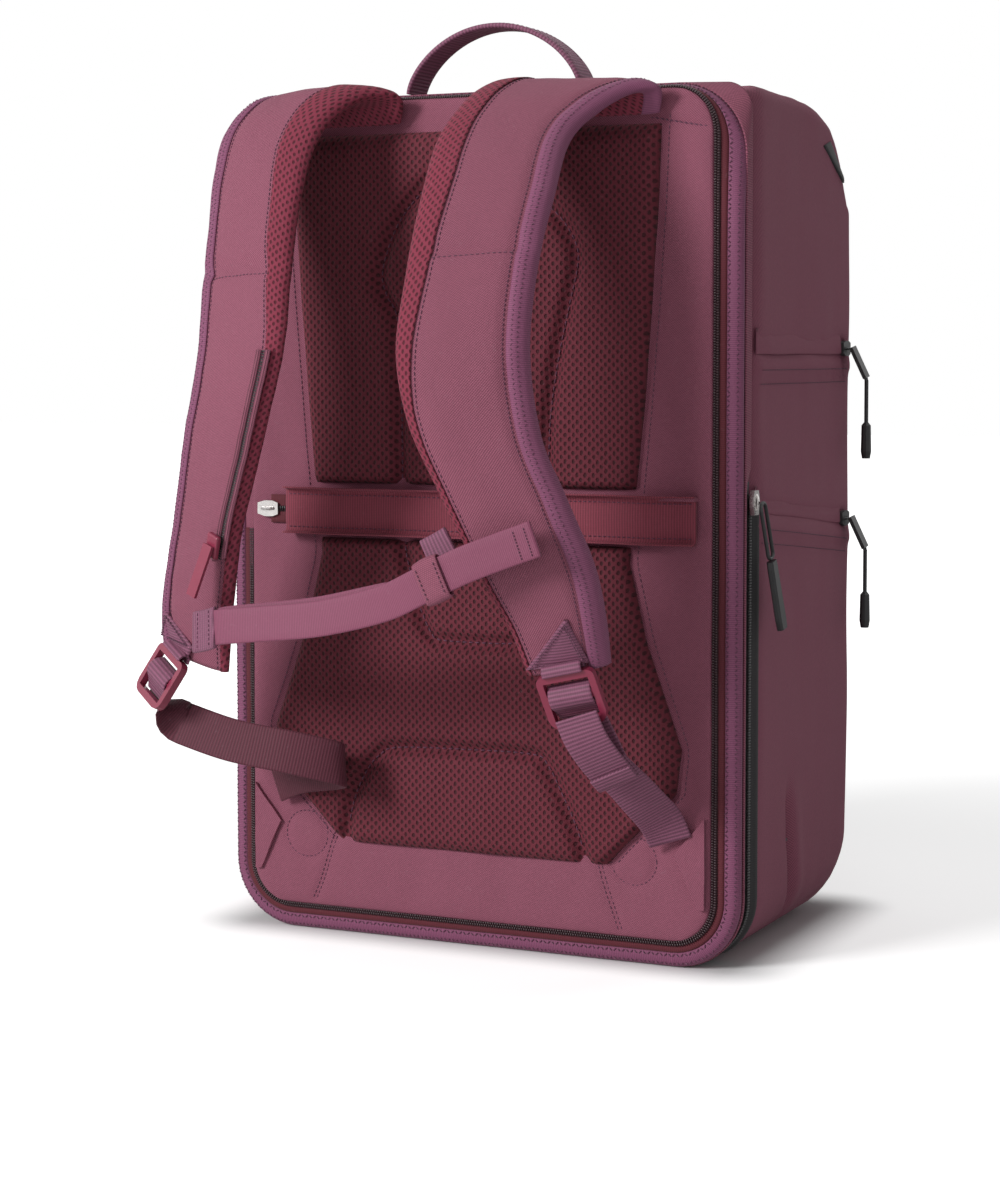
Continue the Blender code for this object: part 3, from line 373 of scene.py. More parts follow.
# each cloth: colour, weave and its pitch, tone of the low and high threads,
# bump and its depth, roughness, sheen, material slot
clothColumns = ("colour", "weave", "pitch", "dark", "light", "bump", "depth", "rough", "sheen", "slot")
cloths = {
    "twill": ((140, 79, 98), "twill", 0.0014, 0.55, 1.4, 0.5, 0.0004, 0.78, 0.03, "twill_cloth"),
    "binding": ((134, 76, 106), "rib", 0.0011, 0.62, 1.25, 0.3, 0.0002, 0.7, 0.06, "binding_cloth"),
    # the back's spacer mesh and the straps' lining mesh are one mesh in two tones: the straps' lighter copy is
    # painted light, the back's darker one painted shade
    "spacer": ((98, 36, 48), "mesh", 0.0050, 0.05, 1.25, 1.0, 0.0009, 0.8, 0.03, "mesh_cloth"),
    "webbing": ((132, 80, 104), "rib", 0.0022, 0.5, 1.3, 0.6, 0.0004, 0.6, 0.05, "webbing_cloth"),
    "strapMesh": ((124, 46, 64), "mesh", 0.0046, 0.10, 1.25, 0.8, 0.0009, 0.8, 0.03, "mesh_cloth"),
    "chestWeb": ((132, 70, 94), "rib", 0.0011, 0.72, 1.3, 0.35, 0.0002, 0.6, 0.06, "binding_cloth"),
    # a darker copy of the webbing, for the left lower webbing: painted shade, for the shadow it lies in
    "darkWebbing": ((92, 42, 56), "rib", 0.0018, 0.6, 1.25, 0.5, 0.0003, 0.65, 0.03, "webbing_cloth"),
    "coilTape": ((50, 26, 32), "rib", 0.0012, 0.6, 1.3, 0.3, 0.0002, 0.7, 0.05, "webbing_cloth"),
    "bandCloth": ((132, 56, 72), "rib", 0.0016, 0.6, 1.3, 0.5, 0.0003, 0.7, 0.1, "webbing_cloth"),
    "tape": ((96, 36, 46), "rib", 0.0012, 0.7, 1.15, 0.3, 0.0002, 0.75, 0.1, "twill_cloth"),
    "blackTape": ((30, 28, 30), "rib", 0.0012, 0.6, 1.3, 0.3, 0.0002, 0.7, 0.1, "black_tape"),
    "lining": ((74, 74, 80), "twill", 0.0016, 0.75, 1.15, 0.25, 0.0002, 0.7, 0.1, "lining_cloth"),
    "thread": ((92, 46, 72), "rib", 0.0006, 0.7, 1.2, 0.2, 0.0001, 0.6, 0.2, "binding_cloth"),
}
# each hard finish: colour, roughness, metal, coat, how far the roughness varies, slot
hardColumns = ("colour", "rough", "metal", "coat", "vary", "slot")
hards = {
    "wine": ((134, 42, 68), 0.38, 0.0, 0.25, 0.16, "wine_plastic"),
    "blackRubber": ((26, 25, 27), 0.48, 0.0, 0.0, 0.2, "black_rubber"),
    "blackCoil": ((24, 22, 24), 0.36, 0.0, 0.2, 0.2, "black_tape"),
    "brownCoil": ((56, 32, 38), 0.4, 0.0, 0.15, 0.2, "black_tape"),
    "silver": ((196, 192, 190), 0.28, 1.0, 0.0, 0.22, "silver_metal"),
    "board": ((150, 152, 156), 0.55, 0.0, 0.0, 0.15, "board"),
}


def scaled(colour, factor):
    return tuple(min(value * factor, 1.0) for value in colour[:3]) + (1.0,)


def groupNode(tree, group, values):
    node = tree.nodes.new("ShaderNodeGroup")
    node.node_tree = group
    for name, value in values.items():
        node.inputs[name].default_value = value
    return node.outputs


def newMaterial(name):
    material = bpy.data.materials.new(name)
    material.use_nodes = True
    return material, material.node_tree, material.node_tree.nodes["Principled BSDF"]


def addBump(tree, shader, height, strength, depth):
    bump = tree.nodes.new("ShaderNodeBump")
    bump.inputs["Strength"].default_value = strength
    bump.inputs["Distance"].default_value = depth
    tree.links.new(height, bump.inputs["Height"])
    tree.links.new(bump.outputs[0], shader.inputs["Normal"])


def clothMaterial(name, cloth):
    colour = srgb(*cloth["colour"])
    material, tree, shader = newMaterial(name)
    weave = groupNode(tree, weaves[cloth["weave"]], {"Pitch": cloth["pitch"]})
    age = groupNode(tree, wornSurface, {"Size": 9.0, "Amount": 0.5})
    low, high = scaled(colour, cloth["dark"]), scaled(colour, cloth["light"])
    woven = mixColour(tree, weave["Shade"], low, high)
    worn = mathNode(tree, "MULTIPLY", age["Tone"], 0.4)
    toned = mixColour(tree, worn, woven, scaled(colour, 0.8))
    lint = mathNode(tree, "MULTIPLY", age["Lint"], 0.04)
    linted = mixColour(tree, lint, toned, srgb(200, 180, 190))
    tree.links.new(linted, shader.inputs["Base Color"])
    shader.inputs["Roughness"].default_value = cloth["rough"]
    shader.inputs["Sheen Weight"].default_value = cloth["sheen"]
    shader.inputs["Sheen Roughness"].default_value = 0.5
    shader.inputs["Specular IOR Level"].default_value = 0.3
    addBump(tree, shader, weave["Height"], cloth["bump"], cloth["depth"])
    return material


def hardMaterial(name, hard):
    colour = srgb(*hard["colour"])
    material, tree, shader = newMaterial(name)
    age = groupNode(tree, wornSurface, {"Size": 60.0, "Amount": 1.0})
    toned = mixColour(tree, age["Tone"], scaled(colour, 0.85), scaled(colour, 1.12))
    tree.links.new(toned, shader.inputs["Base Color"])
    offset = mathNode(tree, "SUBTRACT", age["Tone"], 0.5)
    rough = mathNode(tree, "MULTIPLY_ADD", offset, hard["vary"], hard["rough"])
    tree.links.new(rough, shader.inputs["Roughness"])
    shader.inputs["Metallic"].default_value = hard["metal"]
    shader.inputs["Coat Weight"].default_value = hard["coat"]
    shader.inputs["Coat Roughness"].default_value = 0.2
    addBump(tree, shader, age["Lint"], 0.12, 0.0002)
    return material


materials, slotOf = {}, {}
for makeMaterial, columns, table in ((clothMaterial, clothColumns, cloths), (hardMaterial, hardColumns, hards)):
    for finish, row in table.items():
        values = dict(zip(columns, row))
        materials[finish] = makeMaterial(finish, values)
        slotOf[finish] = values["slot"]
print("materials made:", len(materials))


# curves and meshes
def smoothPath(points, steps):
    # a Catmull-Rom curve through rows of numbers, all of whose columns are smoothed
    found = []
    for i in range(len(points) - 1):
        before = points[max(i - 1, 0)]
        after = points[min(i + 2, len(points) - 1)]
        for step in range(steps):
            t = step / steps
            row = []
            for a, b, c, d in zip(before, points[i], points[i + 1], after):
                square, cube = 2 * a - 5 * b + 4 * c - d, 3 * b - a - 3 * c + d
                row.append(0.5 * (2 * b + (c - a) * t + square * t * t + cube * t**3))
            found.append(row)
    found.append(list(points[-1]))
    return found


def interpolate(table, place):
    for (start, first), (end, second) in zip(table, table[1:]):
        if place <= end:
            share = max(0.0, (place - start) / (end - start))
            return first + (second - first) * share
    return table[-1][1]


def clamp(value):
    return min(1.0, max(0.0, value))


def ease(share):
    return share * share * (3 - 2 * share)


cornerSteps = 12


def outline(inset, bottomRadius, topRadius, sideSteps=60, low=0.0, high=None):
    # from the lower right corner, anticlockwise as seen from the harness side
    high = bag["height"] if high is None else high
    x = bag["halfWidth"] - inset
    rb = max(bottomRadius - inset, 0.002)
    rt = max(topRadius - inset, 0.002)
    corners = [
        (x - rb, low + inset + rb, rb, -90),
        (x - rt, high - inset - rt, rt, 0),
        (-x + rt, high - inset - rt, rt, 90),
        (-x + rb, low + inset + rb, rb, 180),
    ]
    arcs = []
    for cx, cz, radius, start in corners:
        angles = [math.radians(start + 90 * i / cornerSteps) for i in range(cornerSteps + 1)]
        arcs.append([(cx + radius * math.cos(a), cz + radius * math.sin(a)) for a in angles])
    points = []
    for i, corner in enumerate(arcs):
        points += corner
        (x0, z0), (x1, z1) = corner[-1], arcs[(i + 1) % 4][0]
        for step in range(1, sideSteps):
            share = step / sideSteps
            points.append((x0 + (x1 - x0) * share, z0 + (z1 - z0) * share))
    return points


def meshOf(name, points, faces, uvs):
    mesh = bpy.data.meshes.new(name)
    mesh.from_pydata(points, [], faces)
    layer = mesh.uv_layers.new(name="cloth")
    layer.data.foreach_set("uv", np.array(uvs, np.float32).ravel())
    mesh.shade_smooth()
    mesh.update()
    return mesh


def gridMesh(name, rows, closeAcross=False, closeAlong=False, caps=False, flip=False, planar=False):
    # rows of points; the UVs are distances along and across, in metres
    count, width = len(rows), len(rows[0])
    points = np.array([[tuple(p) for p in row] for row in rows], float)
    alongSteps = np.linalg.norm(np.roll(points, -1, axis=0) - points, axis=2).mean(axis=1)
    along = np.concatenate([[0], np.cumsum(alongSteps)])
    acrossSteps = np.linalg.norm(np.roll(points, -1, axis=1) - points, axis=2)
    across = np.concatenate([np.zeros((count, 1)), np.cumsum(acrossSteps, axis=1)], axis=1)
    faces, uvs = [], []
    for i in range(count if closeAlong else count - 1):
        for j in range(width if closeAcross else width - 1):
            corners = [(i, j), (i, j + 1), (i + 1, j + 1), (i + 1, j)]
            if flip:
                corners.reverse()
            faces.append([(a % count) * width + b % width for a, b in corners])
            for a, b in corners:
                if planar:
                    x, y, z = points[a % count][b % width]
                    uvs.append((z, x))
                else:
                    uvs.append((along[a], across[a % count][b]))
    if caps:
        for i, order in ((0, range(width - 1, -1, -1)), (count - 1, range(width))):
            faces.append([i * width + j for j in order])
            uvs += [(points[i][j][0], points[i][j][2]) for j in order]
    return meshOf(name, points.reshape(-1, 3).tolist(), faces, uvs)


def addPiece(name, mesh, finish, body, nodes=(), fixNormals=False):
    if fixNormals:
        bm = bmesh.new()
        bm.from_mesh(mesh)
        bmesh.ops.recalc_face_normals(bm, faces=bm.faces)
        bm.to_mesh(mesh)
        bm.free()
    piece = bpy.data.objects.new(name, mesh)
    bpy.context.scene.collection.objects.link(piece)
    piece.data.materials.append(materials[finish])
    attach(piece, body)
    if nodes:
        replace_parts(piece, *nodes)
    return piece


def addTube(name, rows, finish, body, nodes=()):
    # rows of a closed section, with its ends covered
    mesh = gridMesh(name, rows, closeAcross=True, caps=True)
    return addPiece(name, mesh, finish, body, nodes, fixNormals=True)


def thicken(piece, thickness, offset=-1.0):
    modifier = piece.modifiers.new("thickness", "SOLIDIFY")
    modifier.thickness = thickness
    modifier.offset = offset


def soften(piece, width):
    modifier = piece.modifiers.new("edges", "BEVEL")
    modifier.width = width
    modifier.segments = 2
    modifier.limit_method = "ANGLE"
    modifier.angle_limit = math.radians(35)
    modifier.harden_normals = False
    piece.data.shade_smooth()


def framesAlong(points, hints):
    # (centre, across, outward) at each point; outward is along x across
    frames = []
    last = len(points) - 1
    for i, point in enumerate(points):
        tangent = (points[min(i + 1, last)] - points[max(i - 1, 0)]).normalized()
        across = Vector(hints[i])
        across = across - tangent * across.dot(tangent)
        across.normalize()
        frames.append((point, across, tangent.cross(across).normalized()))
    return frames


def routePoints(route, steps):
    # a route is rows of x, stand-off from the panel, height and across direction
    samples = smoothPath(route, steps)
    centres = [Vector((s[0], bag["rear"] - s[1], s[2])) for s in samples]
    return centres, [s[3:6] for s in samples]


def routeFrames(route, steps):
    return framesAlong(*routePoints(route, steps))


def waved(frames, shift, size, amount):
    # the same frames with slack in the cloth; shift says where the ripple is read
    found = []
    for point, across, outward in frames:
        found.append((point + outward * ripple(shift(point), size, amount), across, outward))
    return found


def beltOutline(width, thickness):
    # flat webbing with rounded selvedges
    u, v = width / 2, thickness / 2
    r = v * 0.9
    upper = [(-u + r * 0.4, v * 0.8), (-u + r * 1.6, v), (-u * 0.5, v), (0, v), (u * 0.5, v),
             (u - r * 1.6, v), (u - r * 0.4, v * 0.8)]
    return [(-u, 0)] + upper + [(u, 0)] + [(a, -b) for a, b in reversed(upper)]


def sweepRows(frames, shape):
    rows = []
    for i, (centre, across, outward) in enumerate(frames):
        points = shape(i / (len(frames) - 1)) if callable(shape) else shape
        rows.append([centre + across * u + outward * v for u, v in points])
    return rows


def belt(name, frames, width, thickness, finish, body, nodes=()):
    return addTube(name, sweepRows(frames, beltOutline(width, thickness)), finish, body, nodes)


def ringMesh(name, points, radius, sides):
    # a closed ring of thin cord
    rows = []
    normal = None
    for i, point in enumerate(points):
        tangent = (points[(i + 1) % len(points)] - points[i - 1]).normalized()
        if normal is None:
            normal = tangent.orthogonal().normalized()
        normal = (normal - tangent * normal.dot(tangent)).normalized()
        side = tangent.cross(normal)
        angles = [2 * math.pi * k / sides for k in range(sides)]
        rows.append([point + normal * (radius * math.cos(a)) + side * (radius * math.sin(a))
                     for a in angles])
    return gridMesh(name, rows, closeAcross=True, closeAlong=True)


def beads(name, places, finish, body):
    # small rounded bars: (middle, half length vector, radius vector up, radius)
    sides = 5
    points, faces, uvs = [], [], []
    for middle, reach, up, radius in places:
        base = len(points)
        side = reach.cross(up).normalized()
        up = up.normalized()
        points.append(middle - reach - up * radius * 0.7)
        for share in (-0.6, 0.6):
            for k in range(sides):
                angle = 2 * math.pi * k / sides
                turned = up * math.cos(angle) + side * math.sin(angle)
                points.append(middle + reach * share + turned * radius)
        points.append(middle + reach - up * radius * 0.7)
        first, second, end = base + 1, base + 1 + sides, base + 1 + 2 * sides
        for k in range(sides):
            n = (k + 1) % sides
            faces.append((base, first + n, first + k))
            faces.append((first + k, first + n, second + n, second + k))
            faces.append((second + k, second + n, end))
            uvs += [(0, 0)] * 10
    mesh = meshOf(name, [tuple(p) for p in points], faces, uvs)
    return addPiece(name, mesh, finish, body)


def spaced(points, normals, pitch, closed=False):
    # evenly spaced (point, tangent, normal) along a line
    if closed:
        points, normals = points + points[:1], normals + normals[:1]
    found = []
    carry = pitch / 2
    for i in range(len(points) - 1):
        step = points[i + 1] - points[i]
        length = step.length
        if length < 1e-9:
            continue
        while carry < length:
            share = carry / length
            normal = normals[i].lerp(normals[i + 1], share).normalized()
            found.append((points[i].lerp(points[i + 1], share), step / length, normal))
            carry += pitch
        carry -= length
    return found


toViewer = Vector((0, -1, 0))
stitches = {}


def sew(body, line, normals, pitch, radius=0.00028, closed=False, zigzag=0.0):
    # keeps the places of stitches, which become one piece for each body at the end
    if isinstance(normals, Vector):
        normals = [normals] * len(line)
    places = stitches.setdefault(body, [])
    for i, (point, tangent, normal) in enumerate(spaced(line, normals, pitch, closed)):
        reach = tangent * pitch * 0.36
        if zigzag:
            side = tangent.cross(normal).normalized()
            reach = (tangent + side * (1 if i % 2 else -1)).normalized() * zigzag * 0.6
        places.append((point + normal * radius * 0.4, reach, normal, radius))


def addTeeth(name, line, normals, width, pitch, radius, finish, body, node):
    # one chain of a zip along a line
    if isinstance(normals, Vector):
        normals = [normals] * len(line)
    places = []
    for point, tangent, normal in spaced(line, normals, pitch):
        places.append((point, tangent.cross(normal).normalized() * width / 2, normal, radius))
    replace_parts(beads(name, places, finish, body), node)


def ripple(point, size, amount):
    return noise.noise(Vector(point) / size) * amount


def distanceTo(lines, x, z):
    # distance in the panel's plane to the nearest of some lines
    nearest = np.full(np.shape(x), 9.0)
    for line in lines:
        for (x0, z0), (x1, z1) in zip(line, line[1:]):
            dx, dz = x1 - x0, z1 - z0
            share = ((x - x0) * dx + (z - z0) * dz) / (dx * dx + dz * dz + 1e-12)
            share = np.clip(share, 0, 1)
            nearest = np.minimum(nearest, np.hypot(x - x0 - dx * share, z - z0 - dz * share))
    return nearest


def easeIn(value, reach):
    share = np.clip(value / reach, 0, 1)
    return np.sqrt(1 - (1 - share) ** 2)


# the panel's edge leans back, most of all over the top of the bag
lean = {
    "inset": 0.0213,
    "shrink": 0.70,
    "low": 0.425,
    "high": 0.4766,
    "rise": 0.85,
    "back": 0.20,
    "topBack": 0.30,
}


def leanWeight(z):
    return ease(clamp((z - lean["low"]) / (lean["high"] - lean["low"])))


def leaned(z):
    return z + lean["inset"] * lean["shrink"] * lean["rise"] * leanWeight(z)


def patchRows(halfWidth, heights, columns, standOff):
    # rows of a padded surface on the harness side, from its half width at a height
    rows = []
    shares = np.sin(np.linspace(-math.pi / 2, math.pi / 2, columns))
    shares = 0.45 * shares + 0.55 * np.linspace(-1, 1, columns)
    for z in heights:
        width = halfWidth(z)
        xs = shares * width
        off = standOff(xs, np.full(columns, z), width)
        rows.append([(float(x), bag["rear"] - float(h), leaned(float(z))) for x, h in zip(xs, off)])
    return rows


def closeSteps(low, high, edge, fine, coarse):
    # heights from low to high, closer together near both edges
    spans = ((low, low + edge, fine), (low + edge, high - edge, coarse), (high - edge, high, fine))
    return [z for start, end, step in spans for z in np.arange(start, end, step)] + [high]


# harness panel
panel = {
    "inset": 0.0154,
    "slotHalf": 0.0095,
    "puff": 0.0022,
    "edgeRoll": 0.010,
    "creaseDepth": 0.0011,
    "creaseWidth": 0.0022,
    "grooveDepth": 0.0012,
    "grooveWidth": 0.003,
    "thickness": 0.0016,
    "seams": [  # at the top right, top left, lower right and lower left
        [(0.112, 0.4690), (0.128, 0.4665), (0.1450, 0.4640)],
        [(-0.112, 0.4690), (-0.128, 0.4665), (-0.1450, 0.4640)],
        [(0.080, 0.062), (0.0856, 0.0418), (0.0937, 0.0194)],
        [(-0.091, 0.062), (-0.1000, 0.0339), (-0.1060, 0.0200)],
    ],
    "rounds": [(-0.1110, 0.0590), (0.1020, 0.0600)],
    "roundRadius": 0.0140,
}

# half width of the mesh at each height
meshKnots = [(0.056, 0.086), (0.066, 0.095), (0.100, 0.1285), (0.125, 0.1315), (0.187, 0.1095),
             (0.230, 0.0995), (0.290, 0.1055), (0.380, 0.1130), (0.478, 0.1190)]


def meshHalf(z):
    return interpolate(meshKnots, z)


def coverHalf(z):
    inset, high = panel["inset"], bag["height"] - panel["inset"]
    x = bag["halfWidth"] - inset
    radius = bag["rimCorner"] - inset
    for gap in (z - inset, high - z):
        if gap < radius:
            return x - radius + math.sqrt(max(radius**2 - (radius - gap) ** 2, 0))
    return x


def roundLine(centre, radius):
    angles = [2 * math.pi * i / 24 for i in range(25)]
    return [(centre[0] + radius * math.cos(a), centre[1] + radius * math.sin(a)) for a in angles]


def meshBorder(sign, spread):
    return [(sign * (meshHalf(z) + spread), z) for z in np.linspace(0.058, 0.470, 60)]


roundLines = [roundLine(centre, panel["roundRadius"]) for centre in panel["rounds"]]


def coverStandOff(x, z, width):
    low, high = panel["inset"], bag["height"] - panel["inset"]
    edge = np.minimum(width - np.abs(x), np.minimum(z - low, high - z))
    off = panel["puff"] * easeIn(edge, panel["edgeRoll"])
    seam = distanceTo(panel["seams"] + roundLines, x, z)
    off = off - panel["creaseDepth"] * np.exp(-(seam / panel["creaseWidth"]) ** 2)
    border = distanceTo([meshBorder(1, 0.001), meshBorder(-1, 0.001)], x, z)
    off = off - panel["grooveDepth"] * np.exp(-(border / panel["grooveWidth"]) ** 2)
    waves = np.array([ripple((px, 0.3, pz), 0.035, 0.0011) + ripple((px, 0.7, pz * 0.4), 0.014, 0.0005)
                      for px, pz in zip(x, z)])
    # the cloth lies flat where the slider under the band runs
    run = 1 - 0.9 * np.exp(-((z - bag["bandCentre"]) / panel["slotHalf"]) ** 4)
    return (off + waves * easeIn(edge, 0.02)) * run


def sewOnCover(line, pitch):
    points = []
    for x, z in smoothPath(line, 4):
        off = float(coverStandOff(np.array([x]), np.array([z]), coverHalf(z))[0])
        points.append(Vector((x, bag["rear"] - off - 0.00015, leaned(z))))
    sew("harness_panel", points, toViewer, pitch)


def makeCover():
    heights = closeSteps(panel["inset"], bag["height"] - panel["inset"], 0.018, 0.0014, 0.0030)
    rows = patchRows(coverHalf, heights, 120, coverStandOff)
    mesh = gridMesh("panelCloth", rows, planar=True)
    cover = addPiece("panelCloth", mesh, "twill", "harness_panel", ["back_panel_cover"])
    thicken(cover, panel["thickness"])
    for line in panel["seams"]:
        for shift in (-0.0012, 0.0012):
            sewOnCover([(x + shift, z) for x, z in line], 0.0030)
    for line in roundLines:
        sewOnCover(line, 0.0028)
    for sign in (1, -1):
        sewOnCover(meshBorder(sign, 0.0045), 0.0032)


pad = {
    "depth": 0.0082,
    "edgeRoll": 0.009,
    "bandRoll": 0.005,
    "channelDepth": 0.0064,
    "channelWidth": 0.0040,
    "crown": 0.0012,
    "least": 0.0030,
    "fill": 0.7,
    "spans": {"lower": (0.056, 0.2395), "upper": (0.2715, 0.4665)},
    "lumbar": [
        (-0.0822, 0.0600), (-0.0774, 0.0825), (-0.0685, 0.1012), (-0.0597, 0.1108), (-0.0483, 0.1157),
        (-0.0055, 0.1174), (0.0395, 0.1175), (0.0490, 0.1123), (0.0585, 0.0956), (0.0679, 0.0760),
        (0.0730, 0.0600),
    ],
    "spineEnd": [
        (-0.0440, 0.2420), (-0.0414, 0.2276), (-0.0368, 0.2101), (-0.0316, 0.1961), (-0.0263, 0.1857),
        (-0.0204, 0.1812), (0.0011, 0.1806), (0.0249, 0.1811), (0.0330, 0.1840), (0.0395, 0.1930),
        (0.0450, 0.2080), (0.0480, 0.2250), (0.0490, 0.2420),
    ],
    "arch": [
        (-0.0446, 0.2700), (-0.0446, 0.2747), (-0.0451, 0.3217), (-0.0477, 0.3685), (-0.0549, 0.3832),
        (-0.0575, 0.3979), (-0.0475, 0.4240), (-0.0330, 0.4390), (-0.0181, 0.4450), (0.0077, 0.4440),
        (0.0330, 0.4388), (0.0530, 0.4298), (0.0642, 0.4160), (0.0680, 0.4018), (0.0624, 0.3759),
        (0.0556, 0.3452), (0.0507, 0.3110), (0.0495, 0.2767), (0.0495, 0.2700),
    ],
}
padLines = [smoothPath(pad[name], 4) for name in ("lumbar", "spineEnd", "arch")]


def padStandOff(low, high):
    lowRoll, highRoll = pad["edgeRoll"], pad["bandRoll"]
    if low > bag["bandCentre"]:
        lowRoll, highRoll = highRoll, lowRoll

    def standOff(x, z, width):
        sides = easeIn(width - np.abs(x), pad["edgeRoll"])
        ends = easeIn(z - low, lowRoll) * easeIn(high - z, highRoll)
        nearest = distanceTo(padLines, x, z)
        off = pad["depth"] * sides * ends
        off = off + pad["crown"] * easeIn(nearest, 0.02) * sides * ends
        off = off - pad["channelDepth"] * np.exp(-(nearest / pad["channelWidth"]) ** 2) * sides
        waves = np.array([ripple((px, 1.3, pz), 0.028, 0.0010) for px, pz in zip(x, z)])
        return np.maximum(off + waves * sides * ends, pad["least"] * sides * ends)
    return standOff


def makePads():
    for name, (low, high) in pad["spans"].items():
        heights = closeSteps(low, high, 0.010, 0.0011, 0.0022)
        rows = patchRows(meshHalf, heights, 110, padStandOff(low, high))
        mesh = gridMesh(name + "Pad", rows, planar=True)
        nodes = [name + "_back_mesh", name + "_back_foam"]
        piece = addPiece(name + "Pad", mesh, "spacer", "harness_panel", nodes)
        thicken(piece, 0.0004)
    lower, upper = pad["spans"]["lower"], pad["spans"]["upper"]
    for line in padLines:
        points = []
        for x, z in line:
            if lower[1] < z < upper[0] or z < 0.0665:
                continue
            standOff = padStandOff(*(lower if z < bag["bandCentre"] else upper))
            off = float(standOff(np.array([x]), np.array([z]), meshHalf(z))[0])
            points.append(Vector((x, bag["rear"] - off - 0.0004, leaned(z))))
        sew("harness_panel", points, toViewer, 0.0042, 0.0004)


print("making the harness panel")
makeCover()
makePads()


# rim, zip rows and gusset
hingeSpan = (0.243, 0.440)


def ringRows(profile, keep=None):
    # one row round the bag for each outline point, holding the (inset, y) profile
    corner = bag["rimCorner"]
    loops = [outline(inset * lean["shrink"], corner, corner) for inset, y in profile]
    inner = outline(lean["inset"], corner, corner)
    count = len(loops[0])
    order = list(range(count))
    if keep:
        # leaves out the stretch of the left side where the panel turns
        base = outline(0.0, corner, corner)
        onLeft = [x < -bag["halfWidth"] + 0.001 for x, z in base]
        start = next(k for k in range(count) if onLeft[k] and base[k][1] < keep[0])
        order = [(start + k) % count for k in range(count)]
        order = [k for k in order if not (onLeft[k] and keep[0] < base[k][1] < keep[1])]
    rows = []
    for k in order:
        wave = ripple((loops[0][k][0], 0, loops[0][k][1]), 0.05, 0.0004)
        weight = leanWeight(inner[k][1])
        row = []
        for loop, (inset, y) in zip(loops, profile):
            back = (lean["inset"] - inset) * (lean["back"] + lean["topBack"] * weight)
            rise = inset * lean["shrink"] * lean["rise"] * weight
            row.append(Vector((loop[k][0], y + wave + back, loop[k][1] + rise)))
        rows.append(row)
    return rows


def insetLine(inset, y, keep=None):
    return [row[0] for row in ringRows([(inset, y)], keep)]


# profiles are (inset from the bag's side, y)
rear = bag["rear"]
rim = {
    "profile": [
        (0.0004, rear + 0.0042), (-0.0002, rear + 0.0026), (0.0002, rear + 0.0010),
        (0.0014, rear - 0.0002), (0.0036, rear - 0.0009), (0.0065, rear - 0.0011),
        (0.0095, rear - 0.0008), (0.0116, rear - 0.0001), (0.0125, rear + 0.0012),
        (0.0118, rear + 0.0030), (0.0060, rear + 0.0042),
    ],
    "threads": [(0.0030, rear - 0.0009), (0.0102, rear - 0.0008)],
    "tapeProfile": [
        (0.0122, rear + 0.0004), (0.0140, rear + 0.0002), (0.0168, rear + 0.0006),
        (0.0184, rear + 0.0014), (0.0184, rear + 0.0022), (0.0122, rear + 0.0022),
    ],
    "outerCoil": 0.0191,
    "innerCoil": 0.0213,
    "coilTape": 0.0011,
}


def makeRim():
    mesh = gridMesh("rimTape", ringRows(rim["profile"]), closeAcross=True, closeAlong=True)
    addPiece("rimTape", mesh, "binding", "bag", ["rim_binding"], fixNormals=True)
    for inset, y in rim["threads"]:
        sew("bag", insetLine(inset, y), toViewer, 0.0026, 0.00032, closed=True, zigzag=0.0020)
    addTube("zipTape", ringRows(rim["tapeProfile"], hingeSpan), "tape", "bag", ["panel_zip_tape"])
    for side, body in (("outer", "bag"), ("inner", "harness_panel")):
        name = "zipRow" + side.title()
        inset = rim[side + "Coil"]
        line = insetLine(inset, rear - 0.0002, hingeSpan)
        if side == "inner":
            line[0] = line[0].lerp(line[1], 0.02)
        node = "panel_zip_" + side + "_chain"
        addTeeth(name, line, toViewer, 0.0021, 0.0015, 0.00055, "brownCoil", body, node)
        low, high = inset - rim["coilTape"], inset + rim["coilTape"]
        under = [(low, rear + 0.0004), (inset, rear + 0.0002), (high, rear + 0.0004),
                 (high, rear + 0.0014), (low, rear + 0.0014)]
        addTube(name + "Tape", ringRows(under, hingeSpan), "coilTape", body)


def makeHingeFold():
    # the twill strip that the panel turns on, between the rim's tape and the panel
    rows = []
    for z in np.linspace(hingeSpan[0] - 0.006, hingeSpan[1] + 0.008, 60):
        sway = ripple((3, 1, z), 0.03, 0.0006)
        row = []
        for share in np.linspace(0, 1, 9):
            x = -bag["halfWidth"] + 0.0070 + 0.0115 * share
            row.append((x, rear + 0.0034 - 0.0020 * math.sin(math.pi * share) + sway, leaned(z)))
        rows.append(row)
    mesh = gridMesh("hingeFold", rows)
    thicken(addPiece("hingeFold", mesh, "twill", "harness_panel", fixNormals=True), 0.0008)


# the main zip: a tape, a black edge and a chain up to its slider, a closed fold above;
# places are (inset, y) from the gusset's end, or from the body's start
zipStart, zipEnd = bag["gussetEnd"] + 0.0002, bag["shellStart"] - 0.0002
zipMiddle = (zipStart + zipEnd) / 2
mainZip = {
    "top": 0.272,
    "chain": (0.0008, -0.0867),
    "chainWidth": 0.0046,
    "pitch": 0.0016,
    "tape": [
        (0.0066, zipStart - 0.0004), (0.0042, zipStart + 0.0006), (0.0026, zipStart + 0.0016),
        (0.0034, zipStart + 0.0030), (0.0066, zipStart + 0.0016),
    ],
    "edge": [
        (0.0030, zipStart + 0.0012), (0.0018, zipStart + 0.0026), (0.0016, zipEnd - 0.0012),
        (0.0012, zipEnd + 0.0018), (-0.0001, zipEnd + 0.0050), (-0.0008, zipEnd + 0.0074),
        (-0.0006, zipEnd + 0.0082), (0.0020, zipEnd + 0.0080), (0.0036, zipEnd + 0.0012),
        (0.0056, zipEnd + 0.0010), (0.0050, zipStart + 0.0020),
    ],
    "fold": [
        (0.0008, zipStart - 0.0004), (0.0018, zipMiddle), (0.0030, zipEnd + 0.0004),
        (0.0046, zipEnd), (0.0036, zipStart),
    ],
}
